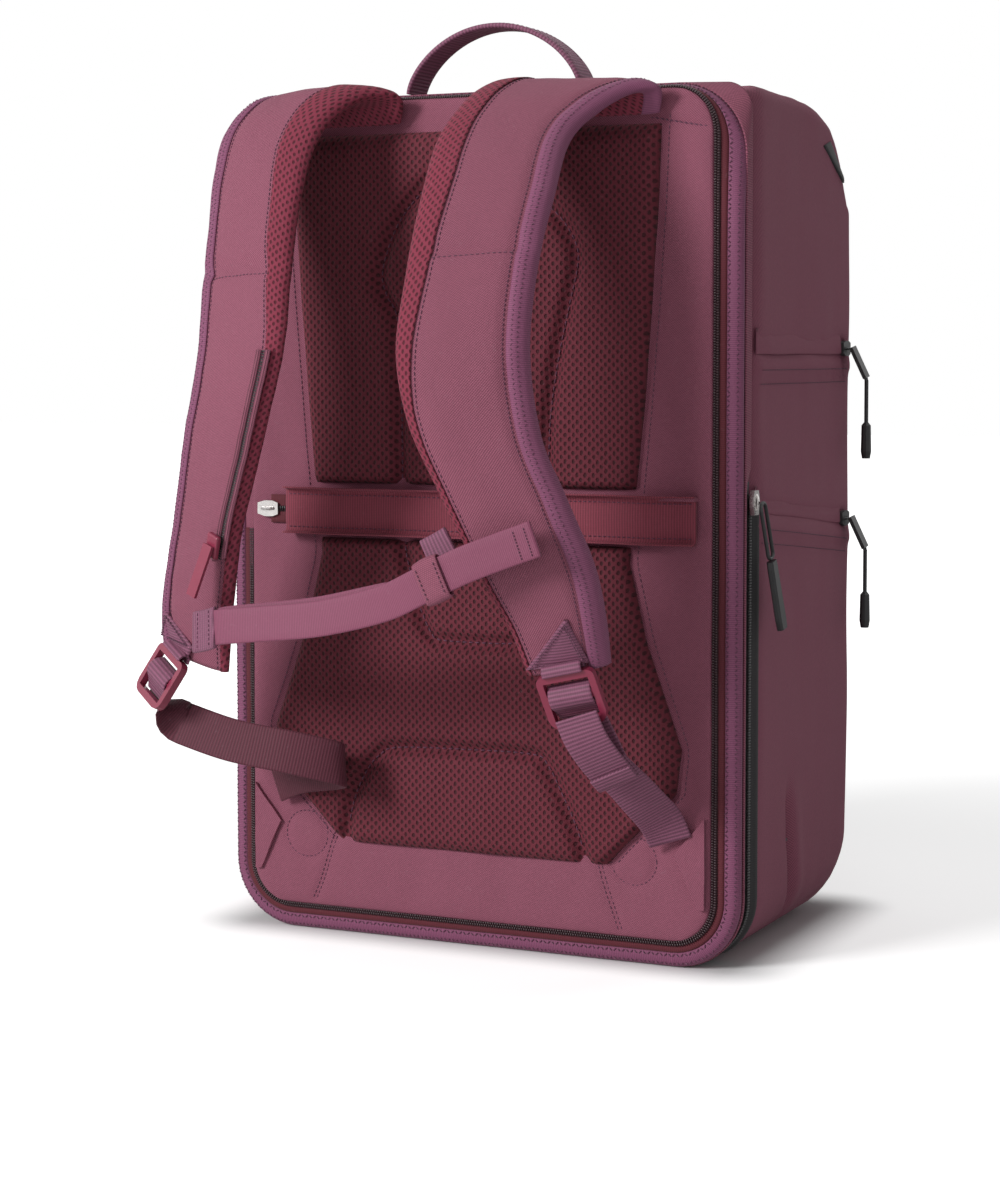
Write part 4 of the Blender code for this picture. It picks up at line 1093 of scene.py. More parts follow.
gusset = {
    "start": bag["gussetStart"] + 0.0046,
    "shares": [0.0, 0.06, 0.2, 0.4, 0.6, 0.8, 0.94, 1.0],
    "plain": 0.0004,
    "pinched": 0.0062,
    "thickness": 0.0012,
}


def zipPinch(z, amount):
    # the zip pulls the sides in only up to where its slider rests
    return amount * ease(clamp((mainZip["top"] + 0.014 - z) / 0.020))


def makeGusset():
    span = bag["gussetEnd"] - gusset["start"]
    loops = []
    for share in gusset["shares"]:
        corners = [bag["rimCorner"] + (bag[end] - bag["rimCorner"]) * share
                   for end in ("baseCorner", "topCorner")]
        amount = share**1.4 - 0.14 * math.sin(math.pi * share)
        loop = []
        for (x0, z0), (x1, z1) in zip(outline(gusset["plain"], *corners), outline(gusset["pinched"], *corners)):
            pull = zipPinch(z0, amount)
            loop.append((x0 + (x1 - x0) * pull, gusset["start"] + span * share, z0 + (z1 - z0) * pull))
        loops.append(loop)
    rows = [list(row) for row in zip(*loops)]
    mesh = gridMesh("rearGusset", rows, closeAlong=True, flip=True)
    thicken(addPiece("rearGusset", mesh, "twill", "bag", ["rear_gusset"]), gusset["thickness"])
    for loop in (loops[1], loops[-2]):
        line = [Vector(point) for point in loop]
        heights = [p.z - bag["height"] / 2 for p in line]
        normals = [Vector((p.x, 0, height if abs(height) > 0.21 else 0)).normalized()
                   for p, height in zip(line, heights)]
        sew("bag", line, normals, 0.0030, closed=True)


def zipRing(profile, above=False):
    # the part of a ring below or above the slider's resting place
    loops = [outline(inset, bag["baseCorner"], bag["topCorner"]) for inset, y in profile]
    count = len(loops[0])
    top = mainZip["top"]
    kept = [loops[0][k][1] > top if above else loops[0][k][1] < top for k in range(count)]
    start = next(k for k in range(count) if kept[k] and not kept[k - 1])
    order = [(start + k) % count for k in range(count) if kept[(start + k) % count]]
    return [[Vector((loop[k][0], y, max(loop[k][1], 0.0002)))
             for loop, (inset, y) in zip(loops, profile)] for k in order]


def makeMainZip():
    addTube("mainZipTape", zipRing(mainZip["tape"]), "tape", "bag", ["main_zip_tape"])
    addTube("mainZipEdge", zipRing(mainZip["edge"]), "blackTape", "bag")
    addTube("mainZipFold", zipRing(mainZip["fold"], above=True), "twill", "bag")
    inset, y = mainZip["chain"]
    line, inner = [[row[0] for row in zipRing([place])] for place in ((inset, y), (inset + 0.002, y))]
    normals = [(a - b).normalized() for a, b in zip(line, inner)]
    addTeeth("mainZipCoil", line, normals, mainZip["chainWidth"], mainZip["pitch"], 0.0006,
             "blackCoil", "bag", "main_zip_chain")


print("making the rim and the zips")
makeRim()
makeHingeFold()
makeGusset()
makeMainZip()


# body of the bag
topLine = [(-0.020, 0.5000), (0.000, 0.5000), (0.018, 0.4985), (0.034, 0.4958), (0.052, 0.4908),
           (0.062, 0.4836), (0.072, 0.4725), (0.080, 0.4585), (0.0875, 0.4470)]
shell = {
    "sideSteps": 130,
    "bulge": 0.0016,
    "wrinkle": 0.0013,
    "slotDepth": 0.0034,
    "slotWidth": 0.0030,
    "frontBulge": 0.0035,
    "rollInset": 0.0042,
    "rollWidth": 0.013,
    "thickness": 0.0014,
    "crease": {"y": -0.012, "z": 0.055, "lean": 0.14, "depth": 0.0070},
    "frontShares": (0.985, 0.96, 0.92, 0.86, 0.78, 0.66, 0.5, 0.3, 0.15, 0.05, 0.001),
}


def shellTop(y):
    return interpolate(topLine, y)


def seamHeight(name, y):
    if name == "upper":
        return bag["upperSeam"]
    share = (y - bag["pocketStart"]) / (bag["pocketEnd"] - bag["pocketStart"])
    return bag["lowerSeam"] - bag["seamFall"] * share


def roundedStep(past, radius):
    # how far a rounded edge has come in at a distance past its start
    return radius - math.sqrt(max(radius**2 - past**2, 0)) if past > 0 else 0.0


def shellLoop(y):
    low = roundedStep(y - (bag["front"] - bag["frontCorner"]), bag["frontCorner"])
    inset = roundedStep(y - (bag["front"] - bag["frontRound"]), bag["frontRound"])
    low = max(low - inset, 0.0)
    along = clamp((y - bag["shellStart"]) / (bag["front"] - bag["shellStart"]))
    topRadius = bag["topCorner"] - 0.006 + along * 0.004 + inset
    roll = max(0.0, 1 - (y - bag["shellStart"]) / shell["rollWidth"])
    inset += shell["rollInset"] * roll * roll
    bottomRadius = bag["baseCorner"] + inset * 0.4
    return outline(inset, bottomRadius, topRadius, shell["sideSteps"], low, shellTop(y))


def shellShift(x, y, z, normalX, normalZ):
    # how far the cloth stands out from the plain form
    middle = max(0.0, 1 - ((z - 0.25) / 0.25) ** 2) * max(0.0, 1 - (y / 0.11) ** 2)
    grow = clamp((y - bag["shellStart"]) / 0.015)
    shift = shell["bulge"] * middle * grow
    broad = ripple((x, y * 0.8, z * 0.6), 0.055, shell["wrinkle"])
    fine = ripple((x + 3, y, z * 0.35), 0.020, shell["wrinkle"] * 0.35)
    shift += (broad + fine) * grow
    if normalZ < -0.5:
        shift = min(shift, 0.0) * 0.3
    if normalX > 0.7:
        crease = shell["crease"]
        place = crease["y"] - (z - 0.03) * crease["lean"]
        ends = math.exp(-((z - crease["z"]) / 0.034) ** 4)
        shift -= crease["depth"] * math.exp(-((y - place) / 0.0042) ** 2) * ends
        shift += 0.0012 * math.exp(-((y - place - 0.012) / 0.0070) ** 2) * ends
        for name in ("upper", "lower"):
            above = z - seamHeight(name, y)
            ends = clamp((y - bag["pocketStart"] + 0.004) / 0.006) * clamp((bag["pocketEnd"] + 0.004 - y) / 0.006)
            shift -= shell["slotDepth"] * math.exp(-(above / shell["slotWidth"]) ** 2) * ends
            flap = 0.0012 * math.exp(-((above + 0.011) / 0.006) ** 2)
            hem = 0.0007 * math.exp(-((above + 0.0165) / 0.0016) ** 2)
            shift += flap - hem * grow
    return shift


def makeShell():
    start, edge = bag["shellStart"], bag["front"] - bag["frontRound"]
    ys = [start + step for step in (0.0, 0.001, 0.003, 0.005, 0.008)]
    ys += list(np.linspace(start + 0.011, edge, 42))
    ys += [bag["front"] - bag["frontRound"] * (1 - math.sin(math.radians(a))) for a in range(9, 88, 6)]
    loops = []
    for y in ys:
        loop = shellLoop(y)
        points = []
        for k, (x, z) in enumerate(loop):
            before, after = loop[k - 1], loop[(k + 1) % len(loop)]
            tangent = Vector((after[0] - before[0], after[1] - before[1])).normalized()
            nx, nz = tangent.y, -tangent.x
            shift = shellShift(x, y, z, nx, nz)
            points.append((x + nx * shift, y, max(z + nz * shift, 0.0)))
        loops.append(points)
    # the front closes in rings round its middle
    last = loops[-1]
    centre = np.array(last).mean(axis=0)
    for share in shell["frontShares"]:
        ring = []
        for point in last:
            x, y, z = centre + (np.array(point) - centre) * share
            lift = shell["frontBulge"] * (1 - share**2)
            lift += ripple((x, 0.5, z), 0.05, 0.0016) * (1 - share**4)
            ring.append((x, last[0][1] + lift, z))
        loops.append(ring)
    mesh = gridMesh("bodyShell", loops, closeAcross=True, flip=True)
    thicken(addPiece("bodyShell", mesh, "twill", "bag", ["front_shell"]), shell["thickness"])


# the two side pockets; the flap's lip is (out, up) from the zip's line
pocket = {
    "chainDepth": 0.0012,
    "tapeDepth": 0.0022,
    "tapeHeights": (-0.0034, -0.0015, 0.0015, 0.0034),
    "stitchDrops": (0.0125, 0.0205),
    "fade": 0.020,
    "fold": 0.12,
    "lip": [(-0.0006, -0.0026), (0.0004, -0.0036), (0.0012, -0.0034), (0.0016, -0.0024),
            (0.0014, 0.0020), (0.0008, 0.0060), (-0.0002, 0.0110), (-0.0012, 0.0100)],
}


def makePockets():
    outward = Vector((1, 0, 0))
    side = bag["halfWidth"]
    ys = np.linspace(bag["shellStart"] + 0.010, bag["front"] - bag["frontRound"] - 0.002, 40)
    zipYs = np.linspace(bag["pocketStart"] + 0.001, bag["pocketEnd"] - 0.001, 40)
    flapStart, flapEnd = bag["pocketStart"] - 0.006, bag["pocketEnd"] - 0.0155
    for name in ("upper", "lower"):
        for drop in pocket["stitchDrops"]:
            line = []
            for y in ys:
                z = seamHeight(name, y) - drop
                line.append(Vector((side + shellShift(side, y, z, 1.0, 0.0) + 0.0001, y, z)))
            sew("bag", line, outward, 0.0030)
        line = [Vector((side - pocket["chainDepth"], y, seamHeight(name, y))) for y in zipYs]
        addTeeth(name + "PocketCoil", line, outward, 0.0042, 0.0015, 0.0005,
                 "blackCoil", "bag", name + "_pocket_zip_chain")
        rows = [[(side - pocket["tapeDepth"], y, seamHeight(name, y) + d) for d in pocket["tapeHeights"]]
                for y in zipYs]
        thicken(addPiece(name + "PocketTape", gridMesh(name + "PocketTape", rows), "blackTape", "bag"), 0.0006)
        # the flap is a folded lip of cloth that hangs over the zip
        rows = []
        for y in np.linspace(flapStart, flapEnd, 60):
            z = seamHeight(name, y) + ripple((y, 6, 0), 0.03, 0.0005)
            base = side + 0.0001
            fade = min(1.0, (y - flapStart) / pocket["fade"])
            rows.append([(base - 0.0006 + (out + 0.0006) * fade, y, z + up) for out, up in pocket["lip"]])
        flap = addTube(name + "PocketFlap", rows, "twill", "bag", [name + "_pocket_storm_flap"])
        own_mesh(flap)


# cloth strip across the slope, with a black tab at each end
topStrip = {
    "halfWidth": 0.150,
    "start": 0.040,
    "end": 0.066,
    "lift": 0.0016,
    "tabRear": [(0.0354, 0.4736), (0.0400, -0.0198)],  # (y, z), and how far it moves to the front
    "tabTop": [(0.0587, 0.4800), (0.0185, -0.0195)],
}


def stripPoint(x, share):
    y = topStrip["start"] + (topStrip["end"] - topStrip["start"]) * share
    raised = topStrip["lift"] * (1 - abs(2 * share - 1) ** 4)
    return y, raised, ripple((x, y, 3), 0.03, 0.0006)


def makeTopStrip():
    low, high = -topStrip["halfWidth"], topStrip["halfWidth"]
    rows = []
    for x in np.linspace(low, high, max(4, int((high - low) / 0.004))):
        over = clamp((abs(x) - 0.142) / 0.022)
        fall = 0.0145 * (1 - math.sqrt(max(0.0, 1 - over * over * 0.98)))
        row = []
        for share in np.linspace(0, 1, 12):
            y, raised, wave = stripPoint(x, share)
            row.append((x, y, shellTop(y) - fall + raised + wave))
        rows.append(row)
    mesh = gridMesh("topStrip", rows)
    thicken(addPiece("topStrip", mesh, "twill", "bag", ["top_pocket_strip"], fixNormals=True), 0.0012)
    for share in (0.12, 0.88):
        line = []
        for x in np.linspace(-0.14, 0.14, 70):
            y, raised, wave = stripPoint(x, share)
            line.append(Vector((x, y, shellTop(y) + raised + wave)))
        sew("bag", line, Vector((0, 0.3, 0.95)), 0.0030)
    for sign in (1, -1):
        rows = []
        for t in np.linspace(0, 1, 12):
            rearEnd, topEnd = [[a + b * t for a, b in zip(*topStrip[end])] for end in ("tabRear", "tabTop")]
            row = []
            for share in np.linspace(0, 1, 6):
                x = bag["halfWidth"] + 0.0014 - 0.0030 * share**3
                y, z = [a + (b - a) * share for a, b in zip(rearEnd, topEnd)]
                row.append((sign * x, y, z))
            rows.append(row)
        mesh = gridMesh("topTab", rows)
        tab = addPiece("topTab" + ("Right" if sign > 0 else "Left"), mesh, "blackTape", "bag", fixNormals=True)
        thicken(tab, 0.0012)


print("making the body")
makeShell()
makePockets()
makeTopStrip()


def softCopy(name, node, finish, body, wrinkle, size, longest):
    # a cloth piece in the form of a CAD node, with finer faces and slack in it
    source = frame["nodes"][node]
    bm = bmesh.new()
    bm.from_mesh(source.data)
    bm.transform(source.matrix_world)
    bmesh.ops.remove_doubles(bm, verts=bm.verts, dist=1e-5)
    for _ in range(6):
        edges = [edge for edge in bm.edges if edge.calc_length() > longest]
        if not edges:
            break
        bmesh.ops.subdivide_edges(bm, edges=edges, cuts=1)
        bmesh.ops.triangulate(bm, faces=bm.faces)
    for vertex in bm.verts:
        vertex.co += noise.noise_vector(vertex.co / size) * wrinkle
    bm.normal_update()
    layer = bm.loops.layers.uv.new("cloth")
    for face in bm.faces:
        normal = [abs(value) for value in face.normal]
        axis = normal.index(max(normal))
        for loop in face.loops:
            loop[layer].uv = [value for i, value in enumerate(loop.vert.co) if i != axis]
    mesh = bpy.data.meshes.new(name)
    bm.to_mesh(mesh)
    bm.free()
    mesh.shade_smooth()
    piece = addPiece(name, mesh, finish, body, [node])
    piece.modifiers.new("corners", "EDGE_SPLIT").split_angle = math.radians(50)
    return piece


sleeve = {"halfWidth": 0.124, "low": 0.0057, "high": 0.2857, "y": -0.0884, "slack": 0.0012, "thickness": 0.0012}


def makeInside():
    tray = softCopy("laptopTray", "laptop_tray", "lining", "bag", 0.0010, 0.04, 0.012)
    half, low, high, middle = [sleeve[name] for name in ("halfWidth", "low", "high", "y")]
    rows = []
    for z in np.linspace(low, high, 60):
        slack = math.sin(math.pi * (z - low) / (high - low))
        rows.append([(x, middle - sleeve["slack"] * slack + ripple((x, 0, z), 0.05, 0.0010) * slack, z)
                     for x in np.linspace(-half, half, 56)])
    cloth = addPiece("laptopSleeve", gridMesh("laptopSleeve", rows), "lining", "bag", ["laptop_sleeve"])
    thicken(cloth, sleeve["thickness"])
    top = [(Vector((x, middle + 0.0006, high - 0.005)), Vector((0, 0, 1)), toViewer)
           for x in np.linspace(-half, half, 30)]
    hem = belt("sleeveHem", top, 0.012, 0.0024, "blackTape", "bag")
    for side in ("upper", "lower"):
        softCopy(side + "PocketLining", side + "_pocket_lining", "lining", "bag", 0.0012, 0.03, 0.010)
    softCopy("hingeCloth", "panel_hinge_cloth", "twill", "harness_panel", 0.0003, 0.02, 0.006)


# the band across the back; its profile is (up, out), and a negative value lifts an edge outwards
band = {
    "left": -0.121,
    "right": 0.1404,
    "low": 0.2425,
    "standOff": 0.0090,
    "edgeReach": 0.0050,
    "thickness": 0.0009,
    "profile": [(0.0, -0.0050), (0.0, -0.0022), (0.0007, -0.0007), (0.0022, 0.0), (0.006, 0.0004),
                (0.013, 0.0007), (0.020, 0.0004), (0.0238, 0.0), (0.0253, -0.0007), (0.026, -0.0022),
                (0.026, -0.0050)],
    "stitchHeights": (0.0030, 0.0225),
    "tapeSpan": (-0.1345, -0.112),
    "tapeHalf": 0.0085,
    "chainSpan": (-0.1346, 0.1324),
    "tabShift": (0.0062, -0.0021),
}


def bandStandOff(x):
    fall = ease(clamp((x - 0.110) / 0.020))
    rise = clamp((x - band["left"]) / 0.006)
    return band["standOff"] - 0.0046 * fall - 0.0010 * (1 - rise) + ripple((x, 4, 0), 0.045, 0.0008)


def bandSway(x):
    return ripple((x, 8, 0), 0.05, 0.0007)


def makeBand():
    rows = []
    for x in np.linspace(band["left"], band["right"], 110):
        off = bandStandOff(x)
        reach = min(off, band["edgeReach"]) / band["edgeReach"]
        rows.append([(x, rear - off - (v if v > 0 else -v * reach), band["low"] + u + bandSway(x))
                     for u, v in band["profile"]])
    mesh = gridMesh("zipBand", rows, flip=True)
    cover = addPiece("zipBand", mesh, "bandCloth", "harness_panel", ["zip_cover_band"])
    thicken(cover, band["thickness"])
    for up in band["stitchHeights"]:
        line = [Vector((x, rear - bandStandOff(x) - 0.0004, band["low"] + up + bandSway(x)))
                for x in np.linspace(band["left"] + 0.002, band["right"] - 0.002, 80)]
        sew("harness_panel", line, toViewer, 0.0030)
    softCopy("bandSeam", "band_upper_seam", "twill", "harness_panel", 0.0003, 0.02, 0.006)
    low, high = bag["bandCentre"] - band["tapeHalf"], bag["bandCentre"] + band["tapeHalf"]
    rows = [[(x, rear - 0.0026 - 0.0003 * math.sin(9 * z), z) for z in np.linspace(low, high, 9)]
            for x in np.linspace(*band["tapeSpan"], 16)]
    mesh = gridMesh("bandZipTape", rows)
    thicken(addPiece("bandZipTape", mesh, "tape", "harness_panel", fixNormals=True), 0.0008)
    line = [Vector((x, rear - 0.0030, bag["bandCentre"])) for x in np.linspace(*band["chainSpan"], 60)]
    addTeeth("bandCoil", line, toViewer, 0.0046, 0.0015, 0.0006,
             "blackCoil", "harness_panel", "band_zip_chain")
    out, back = band["tabShift"]
    for sign, name in ((1, "Right"), (-1, "Left")):
        node = "corner_tab_" + name.lower()
        tab = softCopy("cornerTab" + name, node, "twill", "harness_panel", 0.0006, 0.015, 0.005)
        tab.data.transform(Matrix.Translation((out * sign, back, 0)))


handle = {
    "centre": 0.007,
    "half": 0.0550,
    "middle": -0.0855,
    "base": 0.5016,
    "rise": 0.0375,
    "width": 0.0235,
    "thickness": 0.0030,
    "endThickness": 0.0022,
}


def makeHandle():
    width, thickness, thin = handle["width"], handle["thickness"], handle["endThickness"]
    points = []
    for i in range(61):
        angle = math.pi * i / 60
        x = handle["centre"] - handle["half"] * math.cos(angle)
        points.append(Vector((x, handle["middle"], handle["base"] + handle["rise"] * math.sin(angle) ** 1.30)))
    frames = framesAlong(points, [(0, 1, 0)] * len(points))

    def section(share):
        grip = clamp((0.5 - abs(share - 0.5)) / 0.10)
        return beltOutline(width, thin + (thickness - thin) * ease(grip))
    addTube("grabHandle", sweepRows(frames, section), "webbing", "top_handle", ["grab_handle"])
    sewn = frames[10:51]
    for side in (-1, 1):
        line = [centre + across * side * (width / 2 - 0.004) + outward * (thickness / 2 - 0.0001)
                for centre, across, outward in sewn]
        sew("top_handle", line, [outward for centre, across, outward in sewn], 0.0030, 0.00024)


print("making the inside, band and handle")
makeInside()
makeBand()
makeHandle()


# shoulder straps: rows of the left edge and the right edge, each as x, stand-off and drop from the top
straps = {
    "right": [
        (0.042, 0.0080, 0.017, 0.118, 0.0080, 0.017), (0.033, 0.0165, 0.003, 0.121, 0.0165, 0.004),
        (0.024, 0.0360, 0.004, 0.106, 0.0310, 0.009), (0.018, 0.075, 0.030, 0.089, 0.060, 0.032),
        (0.020, 0.106, 0.070, 0.090, 0.090, 0.068), (0.021, 0.125, 0.110, 0.089, 0.108, 0.105),
        (0.020, 0.134, 0.150, 0.088, 0.116, 0.150), (0.025, 0.130, 0.188, 0.093, 0.113, 0.194),
        (0.038, 0.118, 0.226, 0.104, 0.104, 0.228), (0.054, 0.102, 0.270, 0.115, 0.092, 0.264),
        (0.065, 0.087, 0.300, 0.117, 0.081, 0.292), (0.0705, 0.076, 0.326, 0.1155, 0.070, 0.318),
    ],
    "left": [
        (-0.112, 0.0080, 0.017, -0.044, 0.0080, 0.017), (-0.119, 0.0160, 0.005, -0.040, 0.0165, 0.003),
        (-0.130, 0.0300, 0.008, -0.056, 0.0350, 0.004), (-0.138, 0.0450, 0.024, -0.069, 0.0580, 0.025),
        (-0.137, 0.060, 0.053, -0.069, 0.083, 0.065), (-0.132, 0.077, 0.100, -0.065, 0.102, 0.114),
        (-0.131, 0.086, 0.150, -0.063, 0.113, 0.150), (-0.141, 0.086, 0.203, -0.075, 0.112, 0.191),
        (-0.155, 0.079, 0.262, -0.095, 0.102, 0.245), (-0.164, 0.074, 0.292, -0.108, 0.093, 0.290),
        (-0.170, 0.065, 0.324, -0.118, 0.082, 0.334),
    ],
    "outer": {"right": 1, "left": -1},
    "core": 0.0130,
    "edge": 0.0110,
    "puff": 0.0014,
    "wrinkle": 0.0010,
    "fill": 0.75,
    "seamDepth": 0.0030,
    "seamDrop": {"right": 0.097, "left": 0.105},
    "seamLean": {"right": 0.0, "left": -0.0085},
    "margin": [(0.0, 0.016), (0.14, 0.019), (0.34, 0.018), (0.62, 0.006), (1.0, 0.003)],
    "edgeStitches": [(0.0088, 0.0016), (0.0060, 0.0016), (0.0128, 0)],  # inset, zigzag
}


def strapStations(side):
    # (centre, across, outward, half width, share of the length)
    samples = smoothPath(straps[side], 9)
    lefts = [Vector((s[0], rear - s[1], bag["height"] - s[2])) for s in samples]
    rights = [Vector((s[3], rear - s[4], bag["height"] - s[5])) for s in samples]
    centres = [(a + b) / 2 for a, b in zip(lefts, rights)]
    stations = []
    last = len(centres) - 1
    for i, centre in enumerate(centres):
        tangent = (centres[min(i + 1, last)] - centres[max(i - 1, 0)]).normalized()
        width = rights[i] - lefts[i]
        across = width.normalized()
        outward = tangent.cross(across).normalized()
        stations.append((centre, across, outward, width.length / 2, i / last))
    return stations


def strapThickness(share):
    return straps["core"] * (0.30 + 0.70 * min(1, share / 0.22)) * (0.45 + 0.55 * min(1, (1 - share) / 0.08))


def strapPoint(side, station, s, top, grow):
    # s runs from -1 to 1 across the strap; top is 1 for the face away from the bag
    centre, across, outward, half, share = station
    rise = max(0.0, 1 - abs(s) ** 3.4) ** 0.55
    lift = strapThickness(share) / 2 * rise
    if top > 0:
        lift += straps["puff"] * rise * min(1.0, share / 0.2)
        if share > 0.12:
            past = bag["height"] - centre.z - straps["seamDrop"][side] - s * straps["seamLean"][side]
            lift -= straps["seamDepth"] * math.exp(-(past / 0.0030) ** 2) * rise
        past = (s * straps["outer"][side] - 1 + straps["edge"] / half) * half
        lift -= 0.0016 * math.exp(-(past / 0.0022) ** 2)
    point = centre + across * (s * (half + grow)) + outward * (top * (lift + grow * rise))
    wave = ripple((point.x * 1.2, point.y, point.z * 0.8), 0.035, straps["wrinkle"])
    wave += ripple((point.x + 5, point.y, point.z * 1.3), 0.015, straps["wrinkle"] * 0.45)
    return point + outward * wave * min(1.0, share / 0.08) * min(1.0, (1 - share) / 0.06)


def strapShell(name, side, path, grow, finish, node, thickness=0.0):
    # path gives the (s, top) places round the section at one station
    rows = [[strapPoint(side, station, s, top, grow) for s, top in path(station)]
            for station in strapStations(side)]
    if not thickness:
        return addTube(name, rows, finish, "harness_panel", [node])
    piece = addPiece(name, gridMesh(name, rows), finish, "harness_panel", [node])
    thicken(piece, thickness, 1.0)
    return piece


def roundSection(station):
    count = 26
    evens = [2 * i / count - 1 for i in range(count + 1)]
    shares = [0.5 * math.sin(math.pi * even / 2) + 0.5 * even for even in evens]
    return [(s, 1) for s in shares] + [(s, -1) for s in reversed(shares[1:-1])]


def makeStrap(side):
    outer = straps["outer"][side]

    def liningPath(station):
        edge = 1 - interpolate(straps["margin"], station[4]) / station[3]
        places = [(-outer * s, 1) for s in np.linspace(edge, 1, 9)]
        places += [(-outer * s, -1) for s in np.linspace(0.992, -0.94, 20)]
        return places if outer > 0 else list(reversed(places))

    def bindingPath(station):
        edge = 1 - straps["edge"] / station[3]
        places = [(outer * s, 1) for s in np.linspace(edge, 1, 8)]
        places += [(outer * s, -1) for s in np.linspace(0.992, edge + 0.04, 7)]
        return list(reversed(places)) if outer > 0 else places

    core = strapShell(side + "StrapPad", side, roundSection, 0.0, "twill", "shoulder_pad_" + side)
    # the lining takes the lighter copy of the mesh colour: painted light
    strapShell(side + "StrapLining", side, liningPath, 0.0004, "strapMesh", "strap_lining_" + side, 0.0006)
    strapShell(side + "StrapBinding", side, bindingPath, 0.0005, "binding", "strap_binding_" + side, 0.0007)
    stations = strapStations(side)
    sewn = stations[8:]
    normals = [station[2] for station in sewn]
    for inset, zigzag in straps["edgeStitches"]:
        grow = 0.0013 if inset < straps["edge"] else 0.0001
        line = [strapPoint(side, station, outer * (1 - inset / station[3]), 1, grow) for station in sewn]
        sew("harness_panel", line, normals, 0.0026, zigzag=zigzag)
    line = []
    for station in sewn:
        inset = interpolate(straps["margin"], station[4]) + 0.002
        line.append(strapPoint(side, station, -outer * (1 - inset / station[3]), 1, 0.0002))
    sew("harness_panel", line, normals, 0.0030)
    # the seam across the strap, found by its real height
    seam, normals = [], []
    for s in np.linspace(-0.70, 0.82, 24) * outer:
        goal = straps["seamDrop"][side] + s * straps["seamLean"][side] + 0.0040
        after = next(i for i, station in enumerate(stations)
                     if station[4] > 0.12 and bag["height"] - station[0].z > goal)
        first, second = stations[after - 1], stations[after]
        share = (goal - bag["height"] + first[0].z) / (first[0].z - second[0].z)
        ends = [strapPoint(side, station, s, 1, 0.0001) for station in (first, second)]
        seam.append(ends[0].lerp(ends[1], share))
        normals.append(first[2])
    sew("harness_panel", seam, normals, 0.0030)


strapZip = {
    "stations": (54, 77),
    "inset": 0.0080,
    "chainWidth": 0.0036,
    "tapeShift": 0.0040,
    "tapeWidth": 0.0042,
    "tapeThickness": 0.0016,
}


def makeStrapZip():
    # the slanting pocket on the left strap
    picked = strapStations("left")[slice(*strapZip["stations"])]
    line = [strapPoint("left", station, 1 - strapZip["inset"] / station[3], 1, 0.0014) for station in picked]
    normals = [station[2] for station in picked]
    addTeeth("strapZipCoil", line, normals, strapZip["chainWidth"], 0.0015, 0.0005,
             "blackCoil", "harness_panel", "strap_pocket_chain")
    for name, sign in (("Out", -1), ("In", 1)):
        frames = [(point + across * (sign * strapZip["tapeShift"]), across, outward)
                  for point, (centre, across, outward, half, share) in zip(line, picked)]
        belt("strapZipTape" + name, frames, strapZip["tapeWidth"], strapZip["tapeThickness"],
             "twill", "harness_panel")


print("making the straps")
makeStrap("right")
makeStrap("left")
makeStrapZip()


# webbings and locks: centre is x, stand-off and drop; patch is (back along the strap, across it)
locks = {
    "right": {
        "centre": (0.0965, 0.0760, 0.338),
        "bar": (0.95, 0.06, 0.22),
        "down": (0.17, 0.34, -0.92),
        "patch": [(0.034, 0.30), (0.003, -0.90), (0.003, 0.52)],
    },
    "left": {
        "centre": (-0.1640, 0.0800, 0.340),
        "bar": (0.75, -0.50, -0.33),
        "down": (-0.56, -0.10, -0.76),
        "patch": [(0.026, -0.66), (0.008, -0.96), (0.008, 0.16)],
    },
    "anchorWidth": 0.024,
    "anchorThickness": 0.0018,
    "fold": 0.0208,
}
# each row is x, stand-off, height and the direction across the webbing
belts = {
    "right": [
        (0.1080, 0.0560, 0.1250, 0.96, 0.10, 0.26), (0.1180, 0.0350, 0.1040, 0.90, 0.25, 0.36),
        (0.1240, 0.0170, 0.0880, 0.85, 0.30, 0.43), (0.1270, 0.0080, 0.0740, 0.86, 0.05, 0.50),
    ],
    "left": [
        (-0.1560, 0.0720, 0.1330, 0.45, 0.30, 0.84), (-0.1240, 0.0680, 0.1240, 0.15, 0.35, 0.92),
        (-0.0900, 0.0600, 0.1180, 0, 0.25, 0.97), (-0.0660, 0.0420, 0.1100, -0.10, 0.10, 0.99),
        (-0.0780, 0.0240, 0.1040, -0.10, 0.05, 0.99), (-0.1080, 0.0150, 0.0980, -0.10, 0.05, 0.99),
        (-0.1290, 0.0080, 0.0900, -0.25, 0, 0.97),
    ],
    "tail": [
        (0.1000, 0.0800, 0.1530, 0.94, 0.08, 0.30), (0.1040, 0.0765, 0.1410, 0.93, 0.08, 0.32),
        (0.1090, 0.0690, 0.1290, 0.92, 0.10, 0.33), (0.1150, 0.0560, 0.1150, 0.92, 0.12, 0.30),
    ],
    # the left lower webbing takes the darker copy of the webbing colour: painted shade
    "finish": {"right": "webbing", "left": "darkWebbing"},
    "width": 0.025,
    "thickness": 0.0018,
    # over the lock's middle bar: distance down it, and lift
    "overBar": [(0.011, -0.0040), (0.006, -0.0010), (0.002, 0.0026), (-0.002, 0.0032), (-0.006, 0.0010), (-0.008, -0.0030)],
    # the tail's folded hem: distance past its end, and lift
    "hem": [(-0.009, 0.0016), (-0.001, 0.0017), (0.0014, 0.0), (-0.001, -0.0017), (-0.014, -0.0030)],
}


def lockFrame(side):
    x, off, drop = locks[side]["centre"]
    centre = Vector((x, rear - off, bag["height"] - drop))
    bar = Vector(locks[side]["bar"]).normalized()
    down = Vector(locks[side]["down"])
    down = (down - bar * down.dot(bar)).normalized()
    outward = bar.cross(down).normalized()
    return centre, bar, down, -outward if outward.y > 0 else outward


